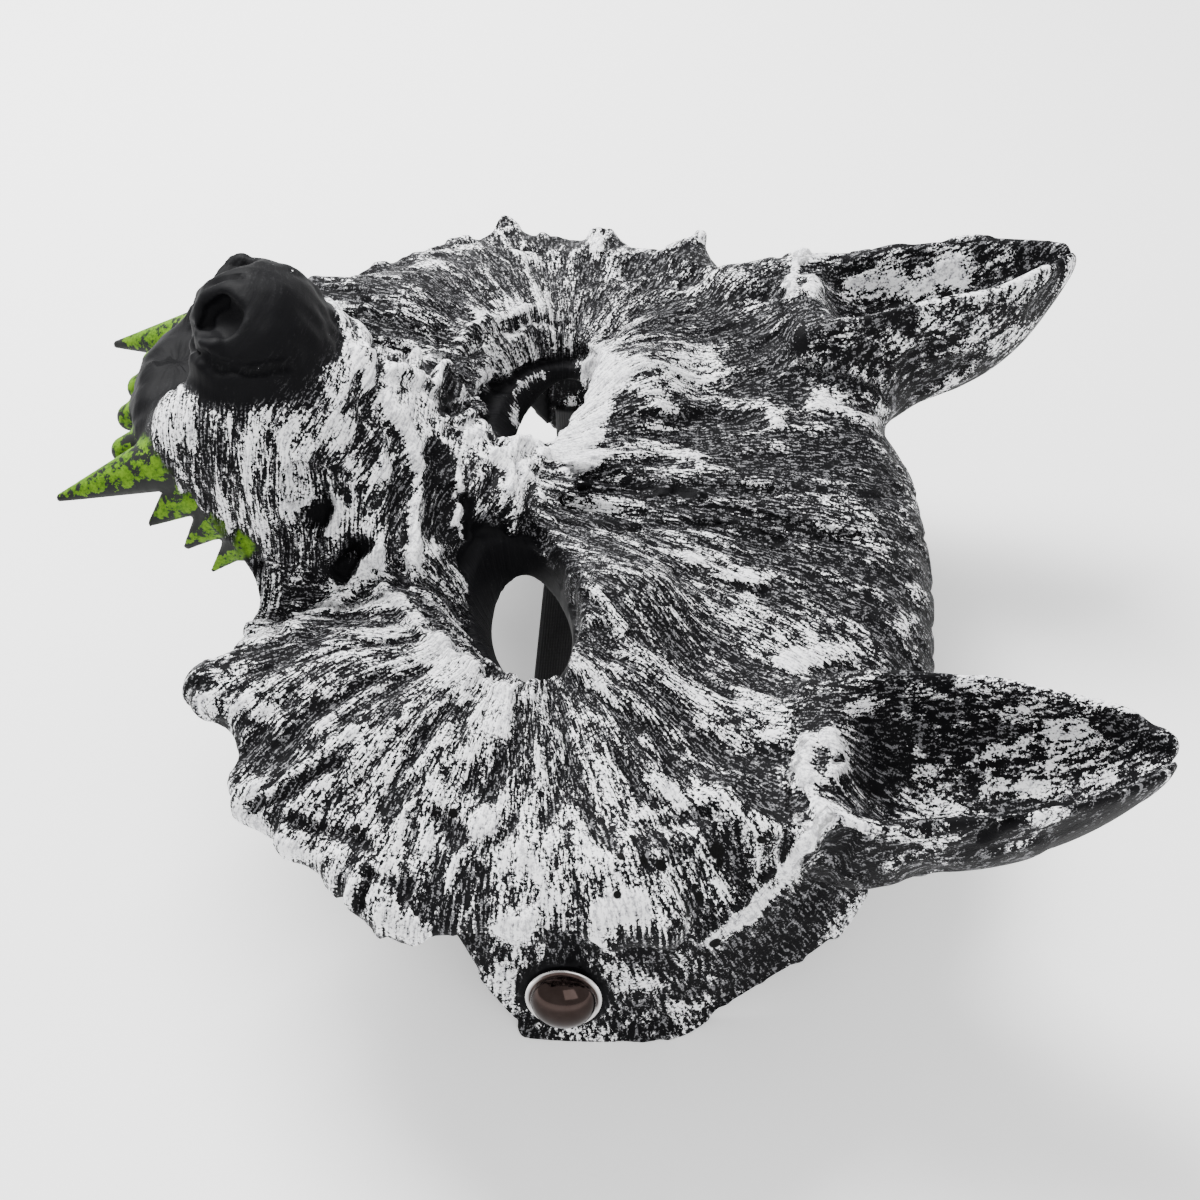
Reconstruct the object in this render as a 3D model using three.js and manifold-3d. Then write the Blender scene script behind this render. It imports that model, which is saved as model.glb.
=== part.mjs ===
// A wolf's head half mask, cast in soft black foam: muzzle with bared teeth, brows over open eye
// holes, a ruff of fur tufts that stands out all round, two cupped ears, and a side lobe under each
// cheek where an elastic strap is riveted. It lies on the rims of its lobes, face up.
// Millimetres. +X runs from the snout to the ears, +Y to the wolf's right, +Z up out of the face.
import * as THREE from "three";
import { mergeVertices } from "three/addons/utils/BufferGeometryUtils.js";
import Module from "manifold-3d";

const wasm = await Module();
wasm.setup();

// Casting
const WALL = 7;
const SMALL = 1e-6;

// Facet sizes, as [from, step] stretches along each axis: fine at the nose, coarse on the side walls
const OUTER_X = [[-125, 5.8], [-62, 8.4], [112, 0]];
const OUTER_Y = [[-137, 8.8], [-28, 5.6], [28, 8.8], [137, 0]];
const OUTER_Z = [[-32, 14], [52, 7.9], [94, 5.8], [152, 0]];
const HOLLOW_X = [[-122, 14], [122, 0]];
const HOLLOW_Y = [[-126, 14], [126, 0]];
const HOLLOW_Z = [[-30, 18], [45, 11], [145, 0]];

// Face plate: its height falls from the cheeks to the brow edge
const FACE_HEIGHT = 77.5;
const FACE_FALL = 0.098;
const FACE_CROWN_X = 0.00035;
const FACE_CROWN_Y = 0.0003;

// Side wall of the head, in plan a superellipse that widens towards the floor
const HEAD = { x: -2, length: 90, width: 98, power: 2.4, levelAt: 60, lean: 0.2, shoulder: 24 };

// Ruff: a thick flap of fur round the face
const RUFF = { x: -10, length: 82, width: 126, power: 2.5, thick: 14, droop: 6, droopFrom: 40, soft: 8 };

// Muzzle: a block that rises forwards at 46 degrees from the root of the nose
const MUZZLE = { frontX: -93, frontZ: 122, length: 93, half: 26, halfFront: 23, below: 31 };
const MUZZLE_WIDTH = { root: 34, front: 29, belly: 0.2, power: 2.5 };
const MUZZLE_RISE = THREE.MathUtils.degToRad(46.4);
const LIP_BELOW_AXIS = 21.5;
const LIP_FRONT_DROP = 6;

// Nose, lip, eyes
const NOSE = { x: -80, z: 126.5, along: 17, across: 19, deep: 15 };
const FRONT_LIP = { x: -104, z: 108, radii: [9, 22, 9] };
const NOSTRIL = { x: -89, y: 10, z: 138, along: 8, across: 5.5, deep: 5 };
const EYE = { x: -14.5, y: 39, turn: THREE.MathUtils.degToRad(12), halfX: 9, halfY: 17 };
const NOSE_WING = { along: 3, wide: 12, up: -3, radii: [11, 9, 8] };
const SOCKET = { halfX: 17, halfY: 26, deep: 22, z: 90, wall: 6 };
const SOCKET_OPEN = { z: 66, cheekSlope: 0.62, browSlope: 0.06, endSlope: 0.5 };

// Swellings of the face and cuts into it, as rods between two points with a radius at each end
const CHEEK = { centre: [-46, 72, 70], radii: [32, 28, 17] };
const BROW = [
  { from: [1, 20, 73], to: [7, 40, 76], radii: [9, 13] },
  { from: [7, 40, 76], to: [14, 64, 71], radii: [13, 9] },
];
const NOSE_TO_EYE = { from: [-62, 24, 86], to: [-30, 36, 80], radii: [8, 8] };
const EAR_ROOT = [
  { from: [38, 68, 60], to: [66, 80, 66], radii: [15, 18] },
  { from: [66, 80, 62], to: [96, 85, 76], radii: [19, 12] },
];
const BESIDE_MUZZLE = { from: [-84, 42, 86], to: [-58, 46, 88], radii: [7, 6] };
const MUZZLE_WRINKLE = { from: [-68, 31, 108], to: [-62, 33, 98], radii: [3.5, 4.5] };
const STOP_SLIT = { from: [-34, 17, 92], to: [-33, 30, 84], radii: [2.5, 3] };
const FOREHEAD_FURROWS = [
  { from: [-6, -8, 82], to: [42, -9, 79], radii: [5.5, 5] },
  { from: [-6, 6, 82], to: [42, 7, 79], radii: [5.5, 5] },
];

// Locks of fur: lengthwise on the forehead, spreading from the eyes on the cheeks
const LOCKS = { height: 1.7, foreheadPitch: 23, foreheadSkew: 0.02, cheekCount: 17, cheekTwist: 0.04 };
const LOCKS_SPREAD_FROM = { x: -12, y: 46 };

// Tufts that stand out of the ruff, with the radius at base and tip; the two sides differ a little
const TUFTS_BOTH = [
  { from: [-58, 66, 75], to: [-82, 71, 79], radii: [17, 9] },
  { from: [-58, 84, 69], to: [-73, 93, 70], radii: [14, 6] },
  { from: [-40, 98, 66], to: [-50, 111, 66], radii: [13, 6] },
  { from: [36, 94, 70], to: [49, 102, 75], radii: [12, 5] },
];
const TUFTS_FAR = [
  { from: [-28, 106, 67], to: [-35, 122, 74], radii: [8, 3] },
  { from: [-6, 110, 66], to: [-5, 122, 70.5], radii: [14, 6] },
  { from: [18, 110, 66], to: [23, 121, 70.5], radii: [14, 6] },
];
const TUFTS_NEAR = [
  { from: [-26, 106, 64], to: [-35, 119, 62], radii: [12, 6] },
  { from: [-6, 110, 64], to: [-9, 121.5, 65], radii: [14, 6] },
  { from: [16, 110, 64], to: [21, 121, 66], radii: [14, 6] },
];
const TUFT_BLEND = 7;

// Ears: deep cups that narrow to a blunt tip
const EAR = { base: [60, 82.5, 83.5], tip: [128.5, 90.5, 95.5], half: 18.5, depth: 36 };
const EAR_BLUNT = { half: 3, depth: 5 };
const EAR_TILT = THREE.MathUtils.degToRad(9);
const EAR_WALL = 6;
const EAR_CUP_SHARE = 0.66;
const EAR_FULLNESS = 0.87;
const EAR_LID_SHARE = 0.97;

// Rims of the casting: it is modelled down to a little below the floor, then cut flat at 0
const FLOOR_CUT = -6;
const LIP_NOTCH_HALF = 18;
const LOBE_FRONT = { x: -14, leanX: 0.88, leanZ: 0.47 };
const LOBE_REST_END_X = 27;
const UNDER_PLATE = { z: 53, slope: 0.1 };
const REAR_RIM = { x: 84, z: 66, curve: 0.0015, slope: 0.28, rise: 0.42, earRise: 1.4, earX: 54 };

// Strap, studs and the place on each lobe where they are riveted
const STUD = { x: -3, y: 106.6, z: 15, radius: 9.2, height: 6.4, flange: 0.9, shank: 1.9 };
const SEAT_TILT = THREE.MathUtils.degToRad(13);
const SEAT_RADIUS = 11;
const SEAT_WALL = 5.5;
const STRAP = { x: -4, width: 30, thick: 1.8, bend: 6, tabAbove: 10, floorGap: 0.3 };
const RIVET_BACK = { radius: 6, thick: 1.5 };
const GAP = 0.3;
const HOLE_PLAY = 0.4;

// Small helpers for signed distances: negative inside
const clamp01 = (value) => Math.min(1, Math.max(0, value));

function blendMin(a, b, width) {
  const overlap = Math.max(width - Math.abs(a - b), 0) / width;
  return Math.min(a, b) - overlap * overlap * width / 4;
}

const blendMax = (a, b, width) => -blendMin(-a, -b, width);

const powerNorm = (a, b, power) => (Math.abs(a) ** power + Math.abs(b) ** power) ** (1 / power);

// A rod from a to b whose radius changes from radiusA to radiusB
function taperedRod(p, a, b, radiusA, radiusB) {
  const along = b.map((value, i) => value - a[i]);
  const offset = p.map((value, i) => value - a[i]);
  const dot = (u, v) => u[0] * v[0] + u[1] * v[1] + u[2] * v[2];
  const t = clamp01(dot(offset, along) / dot(along, along));
  const away = offset.map((value, i) => value - t * along[i]);
  return Math.sqrt(dot(away, away)) - (radiusA + (radiusB - radiusA) * t);
}

const rod = (p, { from, to, radii }) => taperedRod(p, from, to, ...radii);

function ellipsoid(offset, radii) {
  const scaled = Math.hypot(offset[0] / radii[0], offset[1] / radii[1], offset[2] / radii[2]);
  const steep = Math.hypot(offset[0] / radii[0] ** 2, offset[1] / radii[1] ** 2, offset[2] / radii[2] ** 2);
  return scaled * (scaled - 1) / Math.max(steep, SMALL);
}

// Distance in plan to a superellipse centred on the middle line
function planOutline(x, y, centreX, halfLength, halfWidth, power) {
  const a = Math.abs(x - centreX) / halfLength;
  const b = Math.abs(y) / halfWidth;
  const size = Math.max(powerNorm(a, b, power), 1e-3);
  const steep = Math.hypot(a ** (power - 1) / halfLength, b ** (power - 1) / halfWidth) * size ** (1 - power);
  return (size - 1) / Math.max(steep, 1e-4);
}

const faceHeight = (x, y) => FACE_HEIGHT - FACE_FALL * x - FACE_CROWN_X * x * x - FACE_CROWN_Y * y * y;

// Muzzle coordinates: along its axis from the root, and up across it
function muzzleFrame(x, z) {
  const cos = Math.cos(MUZZLE_RISE);
  const sin = Math.sin(MUZZLE_RISE);
  const fromX = x - (MUZZLE.frontX + cos * MUZZLE.length);
  const fromZ = z - (MUZZLE.frontZ - sin * MUZZLE.length);
  return { along: -cos * fromX + sin * fromZ, up: sin * fromX + cos * fromZ };
}

function muzzle(x, y, z) {
  const { along, up } = muzzleFrame(x, z);
  const t = clamp01(along / MUZZLE.length);
  const half = up > 0 ? MUZZLE.half + (MUZZLE.halfFront - MUZZLE.half) * t : MUZZLE.below;
  const belly = 1 - MUZZLE_WIDTH.belly * Math.min(1, Math.max(-1, up / 25));
  const wide = (MUZZLE_WIDTH.root + (MUZZLE_WIDTH.front - MUZZLE_WIDTH.root) * t) * belly;
  const side = (powerNorm(up / half, y / wide, MUZZLE_WIDTH.power) - 1) * Math.min(half, wide);
  return blendMax(side, along - MUZZLE.length + 1 - 0.12 * (up - 5), 14);
}

function head(x, y, z) {
  const wall = planOutline(x, y, HEAD.x, HEAD.length, HEAD.width, HEAD.power);
  const leaning = wall + HEAD.lean * (z - HEAD.levelAt);
  return blendMax(leaning, z - faceHeight(x, y), HEAD.shoulder);
}

// Head and muzzle without fur: the form that the hollow follows
const skull = (x, y, z) => blendMin(head(x, y, z), muzzle(x, y, z), 20);

function ruff(x, y, z) {
  const edge = planOutline(x, y, RUFF.x, RUFF.length, RUFF.width, RUFF.power);
  const near = Math.min(1.3, Math.max(0, (edge + RUFF.droopFrom) / RUFF.droopFrom));
  const top = faceHeight(x, y) + 1 - RUFF.droop * near * near;
  const plate = blendMax(edge, z - top, RUFF.soft);
  return blendMax(plate, top - RUFF.thick - z, RUFF.soft);
}

function socket(x, wide, z) {
  const { across, along } = eyeFrame(x, wide);
  return ellipsoid([across + 1, along, z - SOCKET.z], [SOCKET.halfX, SOCKET.halfY, SOCKET.deep]);
}

function eyeFrame(x, wide) {
  const dx = x - EYE.x;
  const dy = wide - EYE.y;
  const cos = Math.cos(EYE.turn);
  const sin = Math.sin(EYE.turn);
  return { across: dx * cos - dy * sin, along: dx * sin + dy * cos };
}

// Outer part of the socket: it opens towards the cheek and the corners and is steep at the brow
function socketCut(x, wide, z) {
  const { across, along } = eyeFrame(x, wide);
  const rise = Math.min(30, Math.max(0, z - SOCKET_OPEN.z));
  const halfX = EYE.halfX + (across < 0 ? SOCKET_OPEN.cheekSlope : SOCKET_OPEN.browSlope) * rise;
  const halfY = EYE.halfY + SOCKET_OPEN.endSlope * rise;
  return Math.max((Math.hypot(across / halfX, along / halfY) - 1) * halfX, SOCKET_OPEN.z - z);
}

// Nose pad and upper lip lie square to the muzzle's axis
function squareToMuzzle(x, z, centreX, centreZ) {
  const cos = Math.cos(MUZZLE_RISE);
  const sin = Math.sin(MUZZLE_RISE);
  const dx = x - centreX;
  const dz = z - centreZ;
  return [-cos * dx + sin * dz, sin * dx + cos * dz];
}

function nosePad(x, y, z) {
  const [along, up] = squareToMuzzle(x, z, NOSE.x, NOSE.z);
  const body = ellipsoid([along, y, up], [NOSE.along, NOSE.across, NOSE.deep]);
  const fromWing = [along - NOSE_WING.along, Math.abs(y) - NOSE_WING.wide, up - NOSE_WING.up];
  const wing = ellipsoid(fromWing, NOSE_WING.radii);
  return blendMin(body, wing, 5);
}

function frontLip(x, y, z) {
  const [along, up] = squareToMuzzle(x, z, FRONT_LIP.x, FRONT_LIP.z);
  return ellipsoid([along, y, up], FRONT_LIP.radii);
}

// Height of the fur's locks over the smooth form
function furLocks(x, y) {
  const wide = Math.abs(y);
  const onForehead = clamp01((x - 8) / 20) * clamp01((62 - wide) / 14);
  const lengthwise = Math.cos(2 * Math.PI * y / LOCKS.foreheadPitch + LOCKS.foreheadSkew * x);
  const fromEyeX = x - LOCKS_SPREAD_FROM.x;
  const fromEyeY = wide - LOCKS_SPREAD_FROM.y;
  const reach = Math.hypot(fromEyeX, fromEyeY);
  const onCheek = clamp01((reach - 34) / 14) * (1 - onForehead) * clamp01((wide - 44) / 12);
  const spread = Math.cos(LOCKS.cheekCount * Math.atan2(fromEyeY, fromEyeX) + LOCKS.cheekTwist * reach);
  return LOCKS.height * (onForehead * lengthwise + onCheek * spread);
}

function withTufts(form, p, y) {
  const tufts = [...TUFTS_BOTH, ...(y > 0 ? TUFTS_FAR : TUFTS_NEAR)];
  return tufts.reduce((joined, tuft) => blendMin(joined, rod(p, tuft), TUFT_BLEND), form);
}


// Region kept by the rims: under the muzzle, round the lobes, behind the forehead and the floor
function rims(x, y, z) {
  const wide = Math.abs(y);
  const { up } = muzzleFrame(x, z);
  const lip = -(up + LIP_BELOW_AXIS + LIP_FRONT_DROP * clamp01(1 - wide / LIP_NOTCH_HALF));
  const lobeFront = -((x - LOBE_FRONT.x) * LOBE_FRONT.leanX + z * LOBE_FRONT.leanZ);
  const underPlate = UNDER_PLATE.z - UNDER_PLATE.slope * x - z;
  const front = blendMin(blendMax(lip, underPlate, 3), lobeFront, 6);
  const crown = (x - REAR_RIM.x + REAR_RIM.curve * y * y) * 0.96 + (z - REAR_RIM.z) * REAR_RIM.slope;
  const lobeRear = (REAR_RIM.rise * (x - LOBE_REST_END_X) - z) * 0.92;
  const underEar = (REAR_RIM.earRise * (x - REAR_RIM.earX) - z) * 0.58;
  return blendMax(blendMax(front, crown, 4), blendMax(lobeRear, underEar, 8), 4);
}

function casting(x, y, z) {
  const wide = Math.abs(y);
  const p = [x, wide, z];
  let form = blendMin(skull(x, y, z), ruff(x, y, z), 10);
  const fromCheek = p.map((value, i) => value - CHEEK.centre[i]);
  form = blendMin(form, ellipsoid(fromCheek, CHEEK.radii), 12);
  form = blendMin(form, blendMin(rod(p, BROW[0]), rod(p, BROW[1]), 6), 10);
  form = blendMin(form, rod(p, NOSE_TO_EYE), 10);
  form = blendMin(form, blendMin(rod(p, EAR_ROOT[0]), rod(p, EAR_ROOT[1]), 8), 12);
  form -= furLocks(x, y);
  form = blendMax(form, -socketCut(x, wide, z), 4);
  form = blendMax(form, -Math.min(rod(p, BESIDE_MUZZLE), rod(p, MUZZLE_WRINKLE), rod(p, STOP_SLIT)), 6);
  const furrows = FOREHEAD_FURROWS.map((furrow) => rod([x, y, z], furrow));
  form = blendMax(form, -Math.min(...furrows), 3);
  form = blendMin(form, nosePad(x, y, z), 7);
  form = blendMin(form, frontLip(x, y, z), 7);
  const nostril = [x - NOSTRIL.x, wide - NOSTRIL.y, z - NOSTRIL.z];
  form = blendMax(form, -ellipsoid(nostril, [NOSTRIL.along, NOSTRIL.across, NOSTRIL.deep]), 4);
  form = withTufts(blendMax(form, rims(x, y, z), 3), p, y);
  return Math.max(form, FLOOR_CUT - z);
}

function hollow(x, y, z) {
  const inner = blendMax(skull(x, y, z) + WALL, SOCKET.wall - socket(x, Math.abs(y), z), 6);
  return Math.max(inner, 2 * FLOOR_CUT - z);
}

// Corners of a grid cell by number: bit 0 is +X, bit 1 is +Y, bit 2 is +Z
const CORNERS = [0, 1, 2, 3, 4, 5, 6, 7].map((c) => [c & 1, (c >> 1) & 1, (c >> 2) & 1]);
const CELL_EDGES = [0, 1, 2].flatMap((axis) => CORNERS
  .map((unused, c) => ({ key: 3 * c + axis, a: c, b: c | (1 << axis) }))
  .filter(({ a, b }) => a !== b));
const CELL_FACES = [0, 1, 2].flatMap((axis) => [0, 1].map((level) => {
  const u = 1 << ((axis + 1) % 3);
  const v = 1 << ((axis + 2) % 3);
  const origin = level << axis;
  return [origin, origin | u, origin | u | v, origin | v];
}));

function edgeKey(a, b) {
  const low = Math.min(a, b);
  return 3 * low + Math.log2(Math.max(a, b) - low);
}

// Groups the crossed edges of one cell into the separate sheets of surface that pass through it
function sheetsOfCell(value) {
  const parent = new Map();
  for (const { key, a, b } of CELL_EDGES) {
    if ((value[a] < 0) !== (value[b] < 0)) {
      parent.set(key, key);
    }
  }
  const root = (key) => (parent.get(key) === key ? key : root(parent.get(key)));
  const join = (a, b) => parent.set(root(a), root(b));
  for (const face of CELL_FACES) {
    const sides = face.map((corner, n) => edgeKey(corner, face[(n + 1) % 4]));
    const crossed = sides.filter((key) => parent.has(key));
    if (crossed.length === 2) {
      join(...crossed);
    } else if (crossed.length === 4) {
      const insideCorners = [0, 1, 2, 3].filter((n) => value[face[n]] < 0);
      insideCorners.forEach((n) => join(sides[n], sides[(n + 3) % 4]));
    }
  }
  return { keys: [...parent.keys()], root };
}

// Grid lines from stretches of even steps
function gridLines(stretches) {
  return stretches.slice(0, -1).flatMap(([from], n) => {
    const length = stretches[n + 1][0] - from;
    const count = Math.ceil(length / stretches[n][1]);
    return Array.from({ length: count }, (unused, i) => from + length * i / count);
  }).concat(stretches[stretches.length - 1][0]);
}

// Closed mesh of the place where a field is zero, on a grid of boxes with a point for each sheet
function isosurface(field, ...stretches) {
  const lines = stretches.map(gridLines);
  const [nx, ny, nz] = lines.map((line) => line.length);
  const index = (i, j, k) => (i * ny + j) * nz + k;
  const values = new Float64Array(nx * ny * nz);
  for (let i = 0; i < nx; i++) {
    for (let j = 0; j < ny; j++) {
      for (let k = 0; k < nz; k++) {
        values[index(i, j, k)] = field(lines[0][i], lines[1][j], lines[2][k]);
      }
    }
  }
  const points = [];
  const pointsOfCell = new Map();
  const cellPoints = (cell) => {
    const id = index(...cell);
    if (pointsOfCell.has(id)) {
      return pointsOfCell.get(id);
    }
    const low = lines.map((line, axis) => line[cell[axis]]);
    const size = lines.map((line, axis) => line[cell[axis] + 1] - low[axis]);
    const value = CORNERS.map((c) => values[index(cell[0] + c[0], cell[1] + c[1], cell[2] + c[2])]);
    const { keys, root } = sheetsOfCell(value);
    const found = new Map();
    for (const sheet of new Set(keys.map(root))) {
      const members = CELL_EDGES.filter(({ key }) => keys.includes(key) && root(key) === sheet);
      const place = [0, 1, 2].map((axis) => {
        const crossings = members.map(({ a, b }) => {
          const t = value[a] / (value[a] - value[b]);
          return CORNERS[a][axis] + t * (CORNERS[b][axis] - CORNERS[a][axis]);
        });
        return low[axis] + size[axis] * crossings.reduce((sum, c) => sum + c, 0) / members.length;
      });
      points.push(settle(field, place, 0.35 * Math.min(...size)));
      members.forEach(({ key }) => found.set(key, points.length - 1));
    }
    pointsOfCell.set(id, found);
    return found;
  };
  const triangles = [];
  const addQuads = (i, j, k, axis) => {
    const next = [i, j, k];
    next[axis] += 1;
    const inside = values[index(i, j, k)] < 0;
    if (inside === values[index(...next)] < 0) {
      return;
    }
    const u = (axis + 1) % 3;
    const v = (axis + 2) % 3;
    const quad = [[1, 1], [0, 1], [0, 0], [1, 0]].map(([back, down]) => {
      const cell = [i, j, k];
      cell[u] -= back;
      cell[v] -= down;
      return cellPoints(cell).get(3 * ((back << u) | (down << v)) + axis);
    });
    if (!inside) {
      quad.reverse();
    }
    triangles.push(quad[0], quad[1], quad[2], quad[0], quad[2], quad[3]);
  };
  for (let i = 1; i < nx - 1; i++) {
    for (let j = 1; j < ny - 1; j++) {
      for (let k = 1; k < nz - 1; k++) {
        [0, 1, 2].forEach((axis) => addQuads(i, j, k, axis));
      }
    }
  }
  return solidFrom(points.flat(), triangles);
}

// Moves a point onto the surface of a field, but no further than a limit along each axis
function settle(field, place, limit) {
  let point = place;
  const nudge = 0.3;
  for (let pass = 0; pass < 3; pass++) {
    const value = field(...point);
    const slope = [0, 1, 2].map((axis) => {
      const ahead = [...point];
      const behind = [...point];
      ahead[axis] += nudge;
      behind[axis] -= nudge;
      return (field(...ahead) - field(...behind)) / (2 * nudge);
    });
    const steep = Math.max(slope[0] ** 2 + slope[1] ** 2 + slope[2] ** 2, 0.2);
    point = point.map((coordinate, axis) => {
      const moved = coordinate - value * slope[axis] / steep;
      return Math.min(place[axis] + limit, Math.max(place[axis] - limit, moved));
    });
  }
  return point;
}

function solidFrom(coordinates, triangles) {
  const vertProperties = new Float32Array(coordinates);
  const triVerts = new Uint32Array(triangles);
  return new wasm.Manifold(new wasm.Mesh({ numProp: 3, vertProperties, triVerts }));
}

// A solid of a three.js geometry, placed by an optional matrix
function solidOf(geometry, matrix) {
  if (matrix) {
    geometry.applyMatrix4(matrix);
  }
  geometry.deleteAttribute("normal");
  geometry.deleteAttribute("uv");
  const merged = mergeVertices(geometry, 1e-4);
  return solidFrom(merged.attributes.position.array, merged.index.array);
}

// A closed solid through rings of points, each end closed by a fan round its middle
function loft(rings) {
  const sides = rings[0].length;
  const points = rings.flat();
  const middle = (ring) => ring.reduce((sum, p) => sum.add(p), new THREE.Vector3()).divideScalar(sides);
  points.push(middle(rings[0]), middle(rings[rings.length - 1]));
  const first = points.length - 2;
  const last = points.length - 1;
  const triangles = [];
  for (let r = 0; r < rings.length - 1; r++) {
    for (let s = 0; s < sides; s++) {
      const a = r * sides + s;
      const b = r * sides + (s + 1) % sides;
      triangles.push(a, b, b + sides, a, b + sides, a + sides);
    }
  }
  const end = (rings.length - 1) * sides;
  for (let s = 0; s < sides; s++) {
    triangles.push(first, (s + 1) % sides, s, last, end + s, end + (s + 1) % sides);
  }
  const coordinates = points.flatMap((p) => [p.x, p.y, p.z]);
  const solid = solidFrom(coordinates, triangles);
  return solid.volume() > 0 ? solid : solidFrom(coordinates, triangles.reverse());
}

// A tooth: a cone, round or deepened, with a rounded tip
function toothCone({ from, to, radii: [radius, tipRadius] }, side, sides, flat) {
  const start = new THREE.Vector3(...mirrored(from, side));
  const finish = new THREE.Vector3(...mirrored(to, side));
  const axis = finish.clone().sub(start).normalize();
  const across = new THREE.Vector3(0, 0, 1).cross(axis).normalize();
  const over = axis.clone().cross(across);
  const nose = 1 + 0.5 * tipRadius / start.distanceTo(finish);
  const stations = [[0, radius], [0.5, (radius + tipRadius) / 2], [1, tipRadius], [nose, 0.7 * tipRadius]];
  const rings = stations.map(([t, size]) => {
    const centre = start.clone().lerp(finish, t);
    return Array.from({ length: sides }, (unused, s) => {
      const angle = 2 * Math.PI * s / sides;
      return centre.clone()
        .addScaledVector(across, size * Math.cos(angle))
        .addScaledVector(over, size * flat * Math.sin(angle));
    });
  });
  return loft(rings);
}

// Teeth of one side: the canine, the blades from the corner of the mouth, and the pegs in front
const CANINE = { from: [-101, 24, 106], to: [-126, 29, 98], radii: [7.3, 1.2] };
const BLADE_TEETH = [
  { from: [-84, 30, 87], to: [-92, 32, 78.5], radii: [4.4, 0.7] },
  { from: [-90.5, 29, 92], to: [-98, 31.5, 85], radii: [4.9, 0.7] },
  { from: [-97, 27.5, 98], to: [-105.5, 31, 92], radii: [5.4, 0.7] },
];
const PEG_TEETH = [
  { from: [-105, 16, 106], to: [-113.5, 16.5, 102], radii: [4.8, 3.6] },
  { from: [-107, 5.5, 107], to: [-114.5, 5.5, 103], radii: [5, 3.8] },
];
const BLADE_DEPTH = 1.3;

const mirrored = ([x, y, z], side) => [x, side * y, z];

function addTeeth(solid, teeth, side, sides, flat) {
  return teeth.reduce((joined, tooth) => joined.add(toothCone(tooth, side, sides, flat)), solid);
}

// Section sizes of an ear at t, from 0 at its base to 1 at its tip
function earSection(t) {
  const half = EAR.half * clamp01(1 - t ** 2.6) ** 0.8 + EAR_BLUNT.half;
  const depth = EAR.depth * clamp01(1 - t ** 3) + EAR_BLUNT.depth;
  return { half, depth };
}

function earAxes(side) {
  const base = new THREE.Vector3(...mirrored(EAR.base, side));
  const tip = new THREE.Vector3(...mirrored(EAR.tip, side));
  const along = tip.clone().sub(base).normalize();
  const lean = new THREE.Vector3(0, side * Math.sin(EAR_TILT), Math.cos(EAR_TILT));
  const across = lean.cross(along).normalize();
  const up = along.clone().cross(across);
  return { base, length: tip.distanceTo(base), along, across, up };
}

// Lower half of a superellipse closed by a lid at the given height
function earRing({ base, along, across, up }, distance, half, depth, lid) {
  const steps = 8;
  const ring = [];
  for (let s = 0; s <= steps; s++) {
    const angle = Math.PI * s / steps;
    const cos = Math.cos(angle);
    const sin = Math.sin(angle);
    ring.push([half * Math.sign(cos) * Math.abs(cos) ** EAR_FULLNESS, -depth * sin ** EAR_FULLNESS]);
  }
  ring.push([-half * EAR_LID_SHARE, lid], [0, lid], [half * EAR_LID_SHARE, lid]);
  return ring.map(([a, b]) => base.clone()
    .addScaledVector(along, distance)
    .addScaledVector(across, a)
    .addScaledVector(up, b));
}

function earBody(side) {
  const axes = earAxes(side);
  const stations = [[-12, 0.62], [-6, 0.9], [0, 1]];
  const rings = stations.map(([distance, size]) => {
    const { half, depth } = earSection(0);
    return earRing(axes, distance, half * size, depth * size, 1);
  });
  for (const t of [0.2, 0.4, 0.58, 0.74, 0.88, 0.96, 1]) {
    const { half, depth } = earSection(t);
    rings.push(earRing(axes, t * axes.length, half, depth, 1));
  }
  return loft(rings);
}

// Along the ear, and the share of the full cup there
const CUP_STATIONS = [[0.02, 0.3], [0.07, 0.78], [0.2, 1], [0.4, 1], [0.6, 1], [0.78, 0.95], [0.9, 0.7]];

function earCup(side) {
  const axes = earAxes(side);
  const rings = [];
  for (const [t, size] of CUP_STATIONS) {
    const { half, depth } = earSection(t);
    const cupHalf = Math.max(half - EAR_WALL, 2) * size;
    const cupDepth = Math.max(EAR_CUP_SHARE * depth - 4, 2) * size;
    rings.push(earRing(axes, t * axes.length, cupHalf, cupDepth, 8));
  }
  return loft(rings);
}

function eyeHole(side) {
  const height = 80;
  const cylinder = new THREE.CylinderGeometry(1, 1, height, 16);
  const matrix = new THREE.Matrix4()
    .makeTranslation(EYE.x, side * EYE.y, 80)
    .multiply(new THREE.Matrix4().makeRotationZ(-side * EYE.turn))
    .multiply(new THREE.Matrix4().makeScale(EYE.halfX, EYE.halfY, 1))
    .multiply(new THREE.Matrix4().makeRotationX(Math.PI / 2));
  return solidOf(cylinder, matrix);
}

// Place and turn of a stud: its own +Y points straight out of the lobe
function studPlace(side) {
  return new THREE.Matrix4()
    .makeTranslation(STUD.x, side * STUD.y, STUD.z)
    .multiply(new THREE.Matrix4().makeRotationX(side * SEAT_TILT))
    .multiply(new THREE.Matrix4().makeScale(1, side, 1));
}

// A solid box or cylinder given in the stud's frame, with +Y outwards
function inStudFrame(geometry, side, offsetY, extra = new THREE.Matrix4()) {
  const position = new THREE.Vector3(0, offsetY, 0).applyMatrix4(studPlace(side));
  const turn = new THREE.Matrix4().makeRotationX(side * SEAT_TILT);
  const flip = side < 0 ? new THREE.Matrix4().makeRotationX(Math.PI) : new THREE.Matrix4();
  const matrix = new THREE.Matrix4().makeTranslation(position.x, position.y, position.z)
    .multiply(turn).multiply(flip).multiply(extra);
  return solidOf(geometry, matrix);
}

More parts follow.
